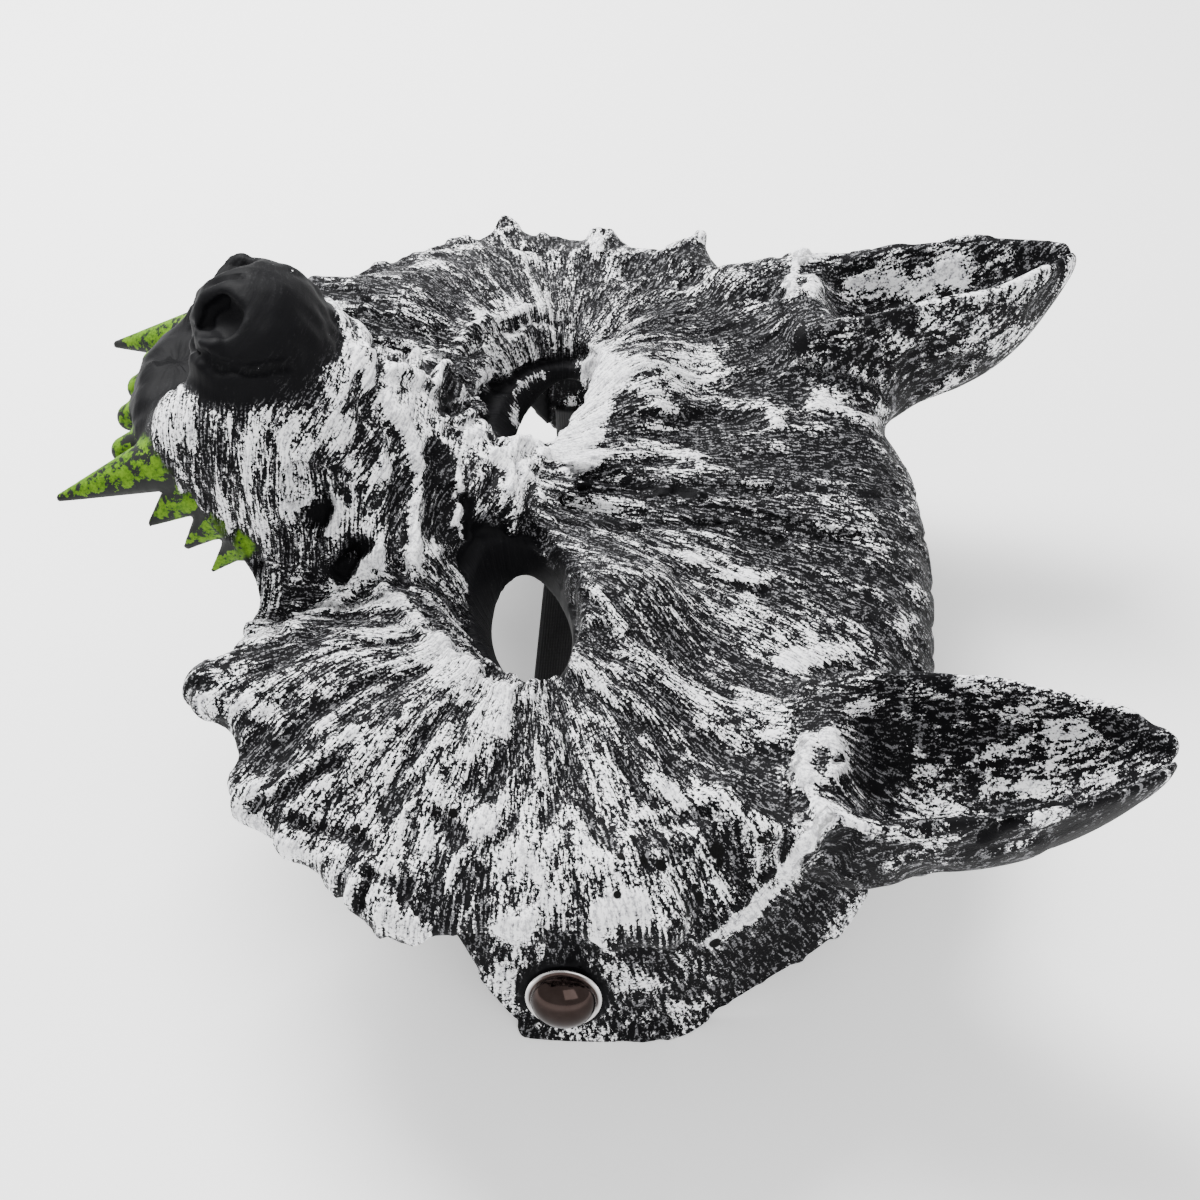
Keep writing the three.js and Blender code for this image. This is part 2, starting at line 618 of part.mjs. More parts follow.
function seatCuts(side) {
  const outside = inStudFrame(new THREE.CylinderGeometry(SEAT_RADIUS, SEAT_RADIUS, 20, 22), side, 10);
  const shift = new THREE.Matrix4().makeTranslation(STRAP.x - STUD.x, 0, 0);
  const inside = inStudFrame(new THREE.BoxGeometry(STRAP.width + 4, 20, 60), side, -SEAT_WALL - 10, shift);
  const bore = new THREE.CylinderGeometry(STUD.shank + HOLE_PLAY, STUD.shank + HOLE_PLAY, 40, 10);
  return outside.add(inside).add(inStudFrame(bore, side, 0));
}

function maskCasting() {
  let solid = isosurface(casting, OUTER_X, OUTER_Y, OUTER_Z);
  for (const side of [-1, 1]) {
    solid = solid.add(earBody(side));
  }
  solid = solid.subtract(isosurface(hollow, HOLLOW_X, HOLLOW_Y, HOLLOW_Z));
  for (const side of [-1, 1]) {
    solid = solid.subtract(earCup(side)).subtract(eyeHole(side)).subtract(seatCuts(side));
    solid = addTeeth(solid, BLADE_TEETH, side, 6, BLADE_DEPTH);
    solid = addTeeth(solid, PEG_TEETH, side, 7, 1);
    solid = addTeeth(solid, [CANINE], side, 8, 1);
  }
  const aboveFloor = new THREE.BoxGeometry(400, 400, 200).translate(0, 0, 100);
  return solid.intersect(solidOf(aboveFloor));
}

// Middle line of the strap, seen along X: up one lobe, across the floor, up the other
function strapLine() {
  const back = SEAT_WALL + GAP + STRAP.thick / 2;
  const lowest = STRAP.floorGap + STRAP.thick / 2;
  const tabY = STUD.y - back * Math.cos(SEAT_TILT);
  const tabZ = STUD.z - back * Math.sin(SEAT_TILT);
  const top = [tabY - STRAP.tabAbove * Math.sin(SEAT_TILT), tabZ + STRAP.tabAbove * Math.cos(SEAT_TILT)];
  const centreZ = lowest + STRAP.bend;
  const bendStartZ = centreZ + STRAP.bend * Math.sin(SEAT_TILT);
  const bendStartY = tabY + (tabZ - bendStartZ) * Math.tan(SEAT_TILT);
  const centreY = bendStartY - STRAP.bend * Math.cos(SEAT_TILT);
  const half = [top];
  const steps = 6;
  for (let s = 0; s <= steps; s++) {
    const angle = SEAT_TILT - (Math.PI / 2 + SEAT_TILT) * s / steps;
    half.push([centreY + STRAP.bend * Math.cos(angle), centreZ + STRAP.bend * Math.sin(angle)]);
  }
  return [...half, ...half.map(([y, z]) => [-y, z]).reverse()];
}

function strap() {
  const line = strapLine().map(([y, z]) => new THREE.Vector2(y, z));
  const sideways = line.map((point, i) => {
    const before = line[Math.max(i - 1, 0)];
    const after = line[Math.min(i + 1, line.length - 1)];
    const along = after.clone().sub(before).normalize();
    return new THREE.Vector2(-along.y, along.x);
  });
  const face = (out) => line.map((point, i) => point.clone().addScaledVector(sideways[i], out));
  const outline = [...face(STRAP.thick / 2), ...face(-STRAP.thick / 2).reverse()];
  const shape = new THREE.Shape(outline);
  const band = new THREE.ExtrudeGeometry(shape, { depth: STRAP.width, bevelEnabled: false });
  const matrix = new THREE.Matrix4().makeBasis(
    new THREE.Vector3(0, 1, 0), new THREE.Vector3(0, 0, 1), new THREE.Vector3(1, 0, 0));
  matrix.setPosition(STRAP.x - STRAP.width / 2, 0, 0);
  let solid = solidOf(band, matrix);
  for (const side of [-1, 1]) {
    const bore = new THREE.CylinderGeometry(STUD.shank + HOLE_PLAY, STUD.shank + HOLE_PLAY, 40, 10);
    solid = solid.subtract(inStudFrame(bore, side, 0));
  }
  return solid;
}

// Domed stud with a flange and a shank that passes through lobe and strap
function stud(side) {
  const shankEnd = SEAT_WALL + GAP + STRAP.thick + GAP;
  const profile = [new THREE.Vector2(0, -shankEnd), new THREE.Vector2(STUD.shank, -shankEnd)];
  profile.push(new THREE.Vector2(STUD.shank, GAP), new THREE.Vector2(STUD.radius, GAP));
  profile.push(new THREE.Vector2(STUD.radius, GAP + STUD.flange));
  const steps = 4;
  const domeRadius = STUD.radius - 0.7;
  for (let s = 0; s <= steps; s++) {
    const angle = Math.PI / 2 * s / steps;
    const radius = s === steps ? 0 : domeRadius * Math.cos(angle);
    const rise = (STUD.height - STUD.flange) * Math.sin(angle);
    profile.push(new THREE.Vector2(radius, GAP + STUD.flange + rise));
  }
  return inStudFrame(new THREE.LatheGeometry(profile, 14), side, 0);
}

function rivetBack(side) {
  const offset = -(SEAT_WALL + GAP + STRAP.thick + GAP + GAP + RIVET_BACK.thick / 2);
  const disc = new THREE.CylinderGeometry(RIVET_BACK.radius, RIVET_BACK.radius, RIVET_BACK.thick, 16);
  return inStudFrame(disc, side, offset);
}

function meshOf(solid, name, material) {
  const { vertProperties, triVerts, numProp } = solid.getMesh();
  const positions = new Float32Array(vertProperties.length / numProp * 3);
  for (let v = 0; v < positions.length / 3; v++) {
    for (let axis = 0; axis < 3; axis++) {
      positions[3 * v + axis] = vertProperties[v * numProp + axis];
    }
  }
  const geometry = new THREE.BufferGeometry();
  geometry.setAttribute("position", new THREE.BufferAttribute(positions, 3));
  geometry.setIndex(new THREE.BufferAttribute(new Uint32Array(triVerts), 1));
  geometry.computeVertexNormals();
  const mesh = new THREE.Mesh(geometry, material);
  mesh.name = name;
  return mesh;
}

const foam = () => new THREE.MeshStandardMaterial({ color: 0x46464a, roughness: 0.62, metalness: 0.15 });
const elastic = () => new THREE.MeshStandardMaterial({ color: 0x0c0c0e, roughness: 0.85, metalness: 0 });
const steel = () => new THREE.MeshStandardMaterial({ color: 0x6a6668, roughness: 0.15, metalness: 1 });

const mask = new THREE.Group();
mask.add(meshOf(maskCasting(), "mask_casting", foam()));
mask.add(meshOf(strap(), "elastic_strap", elastic()));
for (const [side, place] of [[-1, "left"], [1, "right"]]) {
  mask.add(meshOf(stud(side), `stud_${place}`, steel()));
  mask.add(meshOf(rivetBack(side), `rivet_back_${place}`, steel()));
}

// The origin is the middle of the bounding box's underside
const box = new THREE.Box3().setFromObject(mask);
mask.position.set(-(box.min.x + box.max.x) / 2, -(box.min.y + box.max.y) / 2, -box.min.z);

export default mask;
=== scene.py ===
import math

import bpy
import numpy as np
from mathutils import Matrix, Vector


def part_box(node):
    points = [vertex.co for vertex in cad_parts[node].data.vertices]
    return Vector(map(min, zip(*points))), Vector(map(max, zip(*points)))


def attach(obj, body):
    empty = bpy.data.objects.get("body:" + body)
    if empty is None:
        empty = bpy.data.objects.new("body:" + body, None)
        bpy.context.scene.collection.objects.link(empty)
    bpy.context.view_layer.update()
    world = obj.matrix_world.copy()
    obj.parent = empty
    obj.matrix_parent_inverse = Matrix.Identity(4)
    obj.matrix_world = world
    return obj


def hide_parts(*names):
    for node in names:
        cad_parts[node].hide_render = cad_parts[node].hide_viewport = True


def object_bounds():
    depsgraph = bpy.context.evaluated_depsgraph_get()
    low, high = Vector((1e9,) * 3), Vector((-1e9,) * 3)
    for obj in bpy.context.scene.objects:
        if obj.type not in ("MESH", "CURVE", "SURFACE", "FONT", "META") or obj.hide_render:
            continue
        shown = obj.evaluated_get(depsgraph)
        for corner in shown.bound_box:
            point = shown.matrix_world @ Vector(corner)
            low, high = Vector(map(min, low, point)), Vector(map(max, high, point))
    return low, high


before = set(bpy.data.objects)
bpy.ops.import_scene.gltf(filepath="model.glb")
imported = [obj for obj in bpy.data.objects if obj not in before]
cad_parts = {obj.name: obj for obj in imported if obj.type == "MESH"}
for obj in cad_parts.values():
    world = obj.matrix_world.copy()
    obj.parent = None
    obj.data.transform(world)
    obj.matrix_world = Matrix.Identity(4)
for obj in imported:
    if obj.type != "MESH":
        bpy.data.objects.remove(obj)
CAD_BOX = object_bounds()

MM = 0.001

# View of the photograph
PHOTO_SIDE = 1200
FOCAL_PIXELS = 1875
SENSOR_MM = 36
VIEW_RISE = math.radians(46)
VIEW_TURN = math.radians(3)
VIEW_DISTANCE = 500
VIEW_TARGET = (0, 0, 40)

# Studio: each light's name, place and side in metres, and its watts
SKY = 1.06
LIGHTS = [("key", (-0.35, 0.45, 0.8), 0.45, 25), ("front", (0.3, -0.8, 0.55), 0.6, 3.5)]
LIGHT_AIM = (0, 0, 0.05)
FLOOR_HALF = 2.5
FLOOR_SHADE = 0.95
FLOOR_GLOW = 0.35

# Fineness of the casting's mesh, as [from, step] stretches along X, Y and Z, in blocks of whole cells
GRID = [
    [[-131, 0.66], [-82, 1.0], [131, 0]],
    [[-129, 1.0], [-40, 0.8], [40, 1.0], [129, 0]],
    [[-5, 1.2], [48, 0.9], [146, 0]],
]
BLOCK = 4
TRIANGLE_LIMIT = 196000
# How far the skin stays inside the solids' box
BOX_INSET = 0.05

# Where the teeth, ears, their cups and the studs are worked out: before or behind an X, beyond a width
TEETH_BEFORE = -70
TOOTH_PAINT_BEFORE = -76
EARS_BEHIND = 30
EARS_BEYOND = 45
CUPS_BEHIND = 50
STUDS_BEYOND = 70
STUDS_BELOW = 60

# Casting, and the height of its face plate, which falls from the cheeks to the brow edge
WALL = 7
FACE_HEIGHT = 77.5
FACE_FALL = 0.098
FACE_CROWN_X = 0.00035
FACE_CROWN_Y = 0.0003

# Side wall of the head, ruff and muzzle
HEAD = {"x": -2, "length": 90, "width": 98, "power": 2.4, "level_at": 60, "lean": 0.2, "shoulder": 24}
RUFF = {"x": -10, "length": 82, "width": 127, "power": 2.5, "thick": 13, "droop": 6, "droop_from": 40}
MUZZLE = {"front": (-93, 122), "length": 93, "half": 26, "half_front": 23, "below": 31}
MUZZLE_WIDTH = {"root": 34, "front": 29, "belly": 0.2, "power": 2.5}
MUZZLE_RISE = math.radians(46.4)
MUZZLE_ROOT = (
    MUZZLE["front"][0] + math.cos(MUZZLE_RISE) * MUZZLE["length"],
    MUZZLE["front"][1] - math.sin(MUZZLE_RISE) * MUZZLE["length"],
)

# Nose, lip, cheeks and eyes; a place with two numbers is (x, z) on the middle line
NOSE = {"place": (-80, 126.5), "radii": (17, 19, 15)}
NOSE_WING = {"along": 3, "out": 12, "down": 3, "radii": (11, 9, 8)}
FRONT_LIP = {"place": (-104, 108), "radii": (9, 22, 9)}
NOSTRIL = {"place": (-89, 10, 138), "radii": (8, 5.5, 5)}
CHEEK = {"place": (-46, 72, 70), "radii": (32, 28, 17)}
EYE = {"x": -14.5, "y": 39, "turn": math.radians(12), "half_x": 9, "half_y": 17}
SOCKET = {"z": 90, "radii": (17, 26, 22), "wall": 6}
SOCKET_OPEN = {"z": 66, "cheek_slope": 0.62, "brow_slope": 0.06, "end_slope": 0.5}

# Other swellings: rods as (end, end, radius at each), how softly they join each other and the face
SWELLINGS = {
    "brow": ([((1, 20, 73), (7, 40, 76), 9, 13), ((7, 40, 76), (14, 64, 71), 13, 9)], 6, 10),
    "from nose to eye": ([((-62, 24, 86), (-30, 36, 80), 8, 8)], 0, 10),
    "ear's root": ([((38, 68, 60), (66, 80, 66), 15, 18), ((66, 80, 62), (96, 85, 76), 19, 12)], 8, 12),
    "whisker pad": ([((-94, 20, 114), (-74, 25, 104), 10, 11)], 0, 8),
}

# Ears
EAR_BASE = (60, 82.5, 83.5)
EAR_TIP = (128.5, 90.5, 95.5)
EAR = {"half": 18.5, "depth": 36, "blunt": 3, "blunt_depth": 5, "wall": 5.5, "cup": 0.66}
EAR_TILT = math.radians(9)

# Rims of the casting
LIP_RIM = {"below_axis": 21.5, "front_drop": 6, "front_half": 18}
LOBE_FRONT = {"x": -14, "lean_x": 0.88, "lean_z": 0.47}
LOBE_REST_END_X = 27
UNDER_PLATE = {"z": 53, "fall": 0.1}
REAR_RIM = {"x": 84, "z": 66, "curve": 0.0015, "slope": 0.28, "rise": 0.42, "ear_rise": 1.4, "ear_x": 54}

# Folds of the face: [points], radius at the first and last point, and how softly the cut ends
FOLDS = [
    ([(-84, 42, 86), (-58, 46, 88)], 7, 6, 6),
    ([(-68, 31, 108), (-62, 33, 98)], 3.5, 4.5, 2.5),
    ([(-34, 17, 92), (-33, 30, 84)], 2, 2.6, 2),
]
FOREHEAD_FOLDS = [
    ([(-8, -7, 80), (18, -8, 79.5), (46, -10, 74)], 2.6, 1.2, 1.5),
    ([(-8, 5, 80), (20, 5, 79.5), (44, 8, 75)], 2.2, 1.0, 1.5),
    ([(-14, -1, 81), (30, -2, 77.5), (84, -4, 66)], 1.2, 1.0, 1.5),
]

# Tufts that stand out of the ruff: base, tip, radius at each; the two sides differ a little
TUFTS_BOTH = [
    ((-58, 66, 75), (-84, 71.5, 79), 16, 8.5),
    ((-58, 84, 69), (-73, 93, 70), 13, 5),
    ((-40, 98, 66), (-50, 111, 66), 12, 4.5),
    ((36, 94, 70), (49, 102, 75), 11, 3.5),
]
TUFTS_FAR = [
    ((-28, 106, 67), (-35, 122, 74), 7, 2),
    ((-6, 110, 66), (-5, 122, 70.5), 13, 4),
    ((18, 110, 66), (23, 121, 70.5), 13, 4),
]
TUFTS_NEAR = [
    ((-26, 106, 64), (-35, 119, 62), 11, 4.5),
    ((-6, 110, 64), (-9, 121.5, 65), 13, 4.5),
    ((16, 110, 64), (21, 121, 66), 13, 4.5),
]

# Teeth of one side, from the corner of the mouth to the middle: base, tip, radius at the base
CANINE = ((-101, 24, 106), (-126, 29, 98), 7)
CANINE_TIP = 1
SIDE_TEETH = [
    ((-84, 30, 87), (-92, 32, 78.5), 4.4),
    ((-90.5, 29, 92), (-98, 31.5, 85), 5),
    ((-97, 27.5, 98), (-105.5, 31, 92), 5.6),
]
SIDE_TOOTH_TIP = 0.5
SIDE_TOOTH_FLAT = 0.7
FRONT_TEETH = [
    ((-105, 16, 106), (-112.5, 16.5, 102.5), 4.6),
    ((-107, 5.5, 107), (-113.5, 5.5, 103.5), 4.8),
]
FRONT_TOOTH_TIP = 3.4

# Strap and studs
STUD = {"x": -3, "y": 106.6, "z": 15, "radius": 9.2, "height": 6.4, "flange": 0.9, "rim": 0.45}
SEAT_TILT = math.radians(13)
SEAT_RADIUS = 9.9
SEAT_WALL = 5.5
STUD_SIDES = 64
STRAP = {"x": -4, "width": 30, "thick": 1.8, "bend": 6, "tab_above": 10, "floor_gap": 0.3}
STRAP_TAB_STEPS = 14
STRAP_FLOOR_STEPS = 70
RIVET_BACK = {"radius": 6, "thick": 1.5, "rim": 0.4, "dish": 2.6, "dish_deep": 0.5}
RIVET_SIDES = 48
GAP = 0.3

# Fur of the muzzle, brow, ears and cheeks: noise seed, spacing, length and depth of its grooves
FUR = [(101, 2.3, 9, 0.9), (111, 2.6, 15, 0.8), (121, 2.6, 13, 0.9), (131, 3, 12, 1.35)]
BROW_CENTRE_X = -44
CHEEK_CENTRE = (-13, 45)
FUR_HANGS_BELOW = 64

# Silver on the fur: how thick and how patchy it is, and how much thicker or thinner in places
COVER = {"everywhere": -0.65, "patches": 0.5, "muzzle": 0.52, "brow": -0.78, "ear": -0.34, "cup": -0.15}
COVER_LOW = {"from": 58, "to": 42, "change": -0.3}
# Painted shade on surfaces that face down, taken off the silver
COVER_SHADE_UNDERNEATH = -0.5
COVER_BARE = -3.2
COVER_UNDER_FRONT_TEETH = -4
COVER_SOCKET = 2.6

# How strongly pale and dark marks are painted
PALE_MARK = 2.1
DARK_MARK = 1.7

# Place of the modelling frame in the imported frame, found from the strap, which lies across both
strap_low, strap_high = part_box("elastic_strap")
SHIFT = (500 * (strap_low[0] + strap_high[0]) - STRAP["x"], 500 * (strap_low[1] + strap_high[1]), 0)


def in_metres(points):
    """Points of the modelling frame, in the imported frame's metres."""
    return (np.asarray(points, dtype=float) + SHIFT) * MM


# Camera, light and floor

def view_axes():
    """Right, up and back vectors of the photograph's view."""
    level = math.cos(VIEW_RISE)
    back = np.array([math.sin(VIEW_TURN) * level, -math.cos(VIEW_TURN) * level, math.sin(VIEW_RISE)])
    right = np.array([math.cos(VIEW_TURN), math.sin(VIEW_TURN), 0])
    return right, np.cross(back, right), back


def in_scene(name, data):
    """A new object of the scene."""
    thing = bpy.data.objects.new(name, data)
    bpy.context.scene.collection.objects.link(thing)
    return thing


def make_camera():
    data = bpy.data.cameras.new("camera")
    data.sensor_width = SENSOR_MM
    data.lens = FOCAL_PIXELS * SENSOR_MM / PHOTO_SIDE
    camera = in_scene("camera", data)
    back = view_axes()[2]
    camera.location = Vector(in_metres(np.array(VIEW_TARGET) + VIEW_DISTANCE * back))
    camera.rotation_euler = Vector(back).to_track_quat("Z", "Y").to_euler()
    bpy.context.scene.camera = camera


def pale_floor():
    """Smooth pale paper that glows a little."""
    look = Look("pale_floor")
    look.set(Base_Color=(FLOOR_SHADE, FLOOR_SHADE, FLOOR_SHADE), Roughness=0.7)
    look.set(Emission_Color=(1, 1, 1), Emission_Strength=FLOOR_GLOW)
    return look.material


def make_studio():
    """A white sky, square lights that face the mask's middle, and a pale floor."""
    world = bpy.data.worlds.new("studio")
    bpy.context.scene.world = world
    world.use_nodes = True
    background = world.node_tree.nodes["Background"]
    background.inputs["Color"].default_value = (1, 1, 1, 1)
    background.inputs["Strength"].default_value = SKY
    for name, place, side, watts in LIGHTS:
        data = bpy.data.lights.new(name, "AREA")
        data.energy = watts
        data.size = side
        light = in_scene(name, data)
        light.location = place
        light.rotation_euler = (Vector(place) - Vector(LIGHT_AIM)).to_track_quat("Z", "Y").to_euler()
    corners = [(x * FLOOR_HALF, y * FLOOR_HALF, 0) for x, y in ((-1, -1), (1, -1), (1, 1), (-1, 1))]
    mesh = mesh_from("floor", corners, [(0, 1, 2, 3)])
    mesh.materials.append(pale_floor())
    in_scene("floor", mesh)


# Smooth noise that is the same on every run

def scrambled(cells, seed):
    """A number from -1 to 1 for each whole-numbered cell."""
    mixed = np.full(cells[0].shape, seed * 747796405 % 2**32, dtype=np.uint32)
    for cell, factor in zip(cells, (374761393, 668265263, 2246822519)):
        mixed ^= cell.astype(np.int64).astype(np.uint32) * np.uint32(factor)
        mixed = (mixed ^ (mixed >> np.uint32(15))) * np.uint32(2654435761)
    mixed ^= mixed >> np.uint32(13)
    return mixed.astype(np.float32) * np.float32(2 / 2**32) - 1


def noise(seed, *coordinates):
    """Smooth noise in two or three coordinates, one bump or hollow for each whole step."""
    low = [np.floor(c) for c in coordinates]
    share = [c - whole for c, whole in zip(coordinates, low)]
    share = [s * s * (3 - 2 * s) for s in share]
    total = 0
    for corner in range(2 ** len(low)):
        bits = [corner >> axis & 1 for axis in range(len(low))]
        weight = 1
        for bit, s in zip(bits, share):
            weight = weight * (s if bit else 1 - s)
        total = total + weight * scrambled([whole + bit for whole, bit in zip(low, bits)], seed)
    return total


def layered(seed, *coordinates):
    """Two sizes of noise together."""
    fine = noise(seed + 1, *[2.1 * c + 7.3 for c in coordinates])
    return 0.66 * noise(seed, *coordinates) + 0.34 * fine


# Signed distances, negative inside

def clamp01(value):
    return np.clip(value, 0, 1)


def smooth_step(low, high, value):
    t = clamp01((value - low) / (high - low))
    return t * t * (3 - 2 * t)


def blend_min(a, b, width):
    overlap = np.maximum(width - np.abs(a - b), 0) / width
    return np.minimum(a, b) - overlap * overlap * (width / 4)


def blend_max(a, b, width):
    return -blend_min(-a, -b, width)


def power_norm(a, b, power):
    return (np.abs(a) ** power + np.abs(b) ** power) ** (1 / power)


def apart(p, place):
    """How far points lie from a place, along each axis."""
    return [coordinate - start for coordinate, start in zip(p, place)]


def in_axes(p, place, axes):
    """How far points lie from a place, along each of other axes."""
    offset = apart(p, place)
    return [sum(o * np.float32(a) for o, a in zip(offset, axis)) for axis in axes]


def rotated(a, b, angle):
    """Two coordinates in axes that are turned by an angle."""
    cos = math.cos(angle)
    sin = math.sin(angle)
    return a * cos + b * sin, b * cos - a * sin


def picked(p, here):
    """The coordinates of those points that are here."""
    return [coordinate[here] for coordinate in p]


def tapered_rod(p, a, b, radius_a, radius_b):
    """A rod from a to b whose radius changes on the way."""
    along = np.subtract(b, a).astype(np.float32)
    offset = apart(p, a)
    t = clamp01(sum(o * s for o, s in zip(offset, along)) / float(along @ along))
    away = sum((o - t * s) ** 2 for o, s in zip(offset, along))
    return np.sqrt(away) - (radius_a + (radius_b - radius_a) * t)


def ellipsoid(offset, radii):
    scaled = np.sqrt(sum((o / r) ** 2 for o, r in zip(offset, radii)))
    steep = np.sqrt(sum((o / r**2) ** 2 for o, r in zip(offset, radii)))
    return scaled * (scaled - 1) / np.maximum(steep, 1e-6)


def plan_outline(x, y, form):
    """Distance in plan to the superellipse of the head's wall or of the ruff's edge."""
    power = form["power"]
    a = np.abs(x - form["x"]) / form["length"]
    b = np.abs(y) / form["width"]
    size = np.maximum(power_norm(a, b, power), 1e-3)
    steep = np.sqrt((a ** (power - 1) / form["length"]) ** 2 + (b ** (power - 1) / form["width"]) ** 2)
    return (size - 1) / np.maximum(steep * size ** (1 - power), 1e-4)


# Main forms, as in the construction

def face_height(x, y):
    return FACE_HEIGHT - FACE_FALL * x - FACE_CROWN_X * x * x - FACE_CROWN_Y * y * y


def along_muzzle(x, z, place):
    """Distance along the muzzle's axis and up across it, from a place on the middle line."""
    return rotated(place[0] - x, z - place[1], MUZZLE_RISE)


def muzzle(x, y, z):
    along, up = along_muzzle(x, z, MUZZLE_ROOT)
    t = clamp01(along / MUZZLE["length"])
    above = MUZZLE["half"] + (MUZZLE["half_front"] - MUZZLE["half"]) * t
    half = np.where(up > 0, above, MUZZLE["below"])
    belly = 1 - MUZZLE_WIDTH["belly"] * np.clip(up / 25, -1, 1)
    wide = (MUZZLE_WIDTH["root"] + (MUZZLE_WIDTH["front"] - MUZZLE_WIDTH["root"]) * t) * belly
    side = (power_norm(up / half, y / wide, MUZZLE_WIDTH["power"]) - 1) * np.minimum(half, wide)
    return blend_max(side, along - MUZZLE["length"] + 1 - 0.12 * (up - 5), 14)


def head(x, y, z):
    leaning = plan_outline(x, y, HEAD) + HEAD["lean"] * (z - HEAD["level_at"])
    return blend_max(leaning, z - face_height(x, y), HEAD["shoulder"])


def skull(x, y, z):
    """Head and muzzle without fur: the form that the hollow follows."""
    return blend_min(head(x, y, z), muzzle(x, y, z), 20)


def outer_side(x, y, z):
    """1 on the casting's outer side and 0 in its hollow."""
    return smooth_step(0.4, 2.2, skull(x, y, z) + WALL)


def ruff(x, y, z):
    edge = plan_outline(x, y, RUFF)
    near = np.clip((edge + RUFF["droop_from"]) / RUFF["droop_from"], 0, 1.3)
    top = face_height(x, y) + 1 - RUFF["droop"] * near * near
    thick = RUFF["thick"] - 4 * near
    ragged = 2.2 * noise(11, x / 9, y / 9)
    plate = blend_max(edge + ragged + 1, z - top, 6)
    return blend_max(plate, top - thick - z, 6)


def eye_frame(x, wide):
    """Distances across an eye, towards the brow, and along it, from its middle."""
    return rotated(x - EYE["x"], wide - EYE["y"], -EYE["turn"])


def socket(x, wide, z):
    across, along = eye_frame(x, wide)
    return ellipsoid((across + 1, along, z - SOCKET["z"]), SOCKET["radii"])


def socket_cut(x, wide, z):
    """Outer part of the socket: it opens towards the cheek and the corners and is steep at the brow."""
    across, along = eye_frame(x, wide)
    rise = np.clip(z - SOCKET_OPEN["z"], 0, 30)
    steepest = SOCKET_OPEN["brow_slope"]
    slope = steepest + (SOCKET_OPEN["cheek_slope"] - steepest) * (across < 0)
    half_x = EYE["half_x"] + slope * rise
    half_y = EYE["half_y"] + SOCKET_OPEN["end_slope"] * rise
    size = power_norm(across / half_x, along / half_y, 2)
    return np.maximum((size - 1) * half_x, SOCKET_OPEN["z"] - z)


def in_socket(x, wide, z):
    return smooth_step(0.5, -2.5, socket_cut(x, wide, z))


def eye_hole(x, wide):
    across, along = eye_frame(x, wide)
    return (power_norm(across / EYE["half_x"], along / EYE["half_y"], 1.9) - 1) * 12


def nose(x, wide, z):
    """The nose with its wings, and the front lip."""
    along, up = along_muzzle(x, z, NOSE["place"])
    pad = ellipsoid((along, wide, up), NOSE["radii"])
    wing = (along - NOSE_WING["along"], wide - NOSE_WING["out"], up + NOSE_WING["down"])
    pad = blend_min(pad, ellipsoid(wing, NOSE_WING["radii"]), 5)
    along, up = along_muzzle(x, z, FRONT_LIP["place"])
    return blend_min(pad, ellipsoid((along, wide, up), FRONT_LIP["radii"]), 7)


def carved(form, p, folds):
    """Cuts a rod-shaped groove along each fold, worked out only near it."""
    form = form.copy()
    for points, radius_a, radius_b, soft in folds:
        steps = len(points) - 1
        reach = max(radius_a, radius_b) + soft + 2
        for n in range(steps):
            a, b = points[n], points[n + 1]
            near = np.ones(form.shape, bool)
            for coordinate, low, high in zip(p, np.minimum(a, b) - reach, np.maximum(a, b) + reach):
                near &= (coordinate > low) & (coordinate < high)
            start, end = (radius_a + (radius_b - radius_a) * step / steps for step in (n, n + 1))
            cut = tapered_rod(picked(p, near), a, b, start, end)
            form[near] = blend_max(form[near], -cut, soft)
    return form


def with_tufts(form, p, tufts, here):
    form = form.copy()
    for base, tip, radius, tip_radius in tufts:
        near = (p[1] > base[1] - 40) & here
        rod = tapered_rod(picked(p, near), base, tip, radius, tip_radius)
        form[near] = blend_min(form[near], rod, 7)
    return form


def teeth(p):
    x, wide, z = p
    form = tapered_rod(p, *CANINE, CANINE_TIP)
    for base, tip, radius in SIDE_TEETH:
        flat = base[1] + (wide - base[1]) / SIDE_TOOTH_FLAT
        flat_tip = (tip[0], base[1] + (tip[1] - base[1]) / SIDE_TOOTH_FLAT, tip[2])
        blade = tapered_rod((x, flat, z), base, flat_tip, radius, SIDE_TOOTH_TIP)
        form = np.minimum(form, blade * SIDE_TOOTH_FLAT**0.5)
    for base, tip, radius in FRONT_TEETH:
        form = np.minimum(form, tapered_rod(p, base, tip, radius, FRONT_TOOTH_TIP))
    return form


def unit(vector):
    return np.asarray(vector, float) / np.linalg.norm(vector)


EAR_LENGTH = np.linalg.norm(np.subtract(EAR_TIP, EAR_BASE))
EAR_ALONG = unit(np.subtract(EAR_TIP, EAR_BASE))
EAR_ACROSS = unit(np.cross((0, math.sin(EAR_TILT), math.cos(EAR_TILT)), EAR_ALONG))
EAR_AXES = (EAR_ALONG, EAR_ACROSS, np.cross(EAR_ALONG, EAR_ACROSS))


def ear_frame(p):
    """Share of the way to the tip, and distances past the tip, across and up out of the cup."""
    along, across, up = in_axes(p, EAR_BASE, EAR_AXES)
    return clamp01(along / EAR_LENGTH), along - EAR_LENGTH, across, up


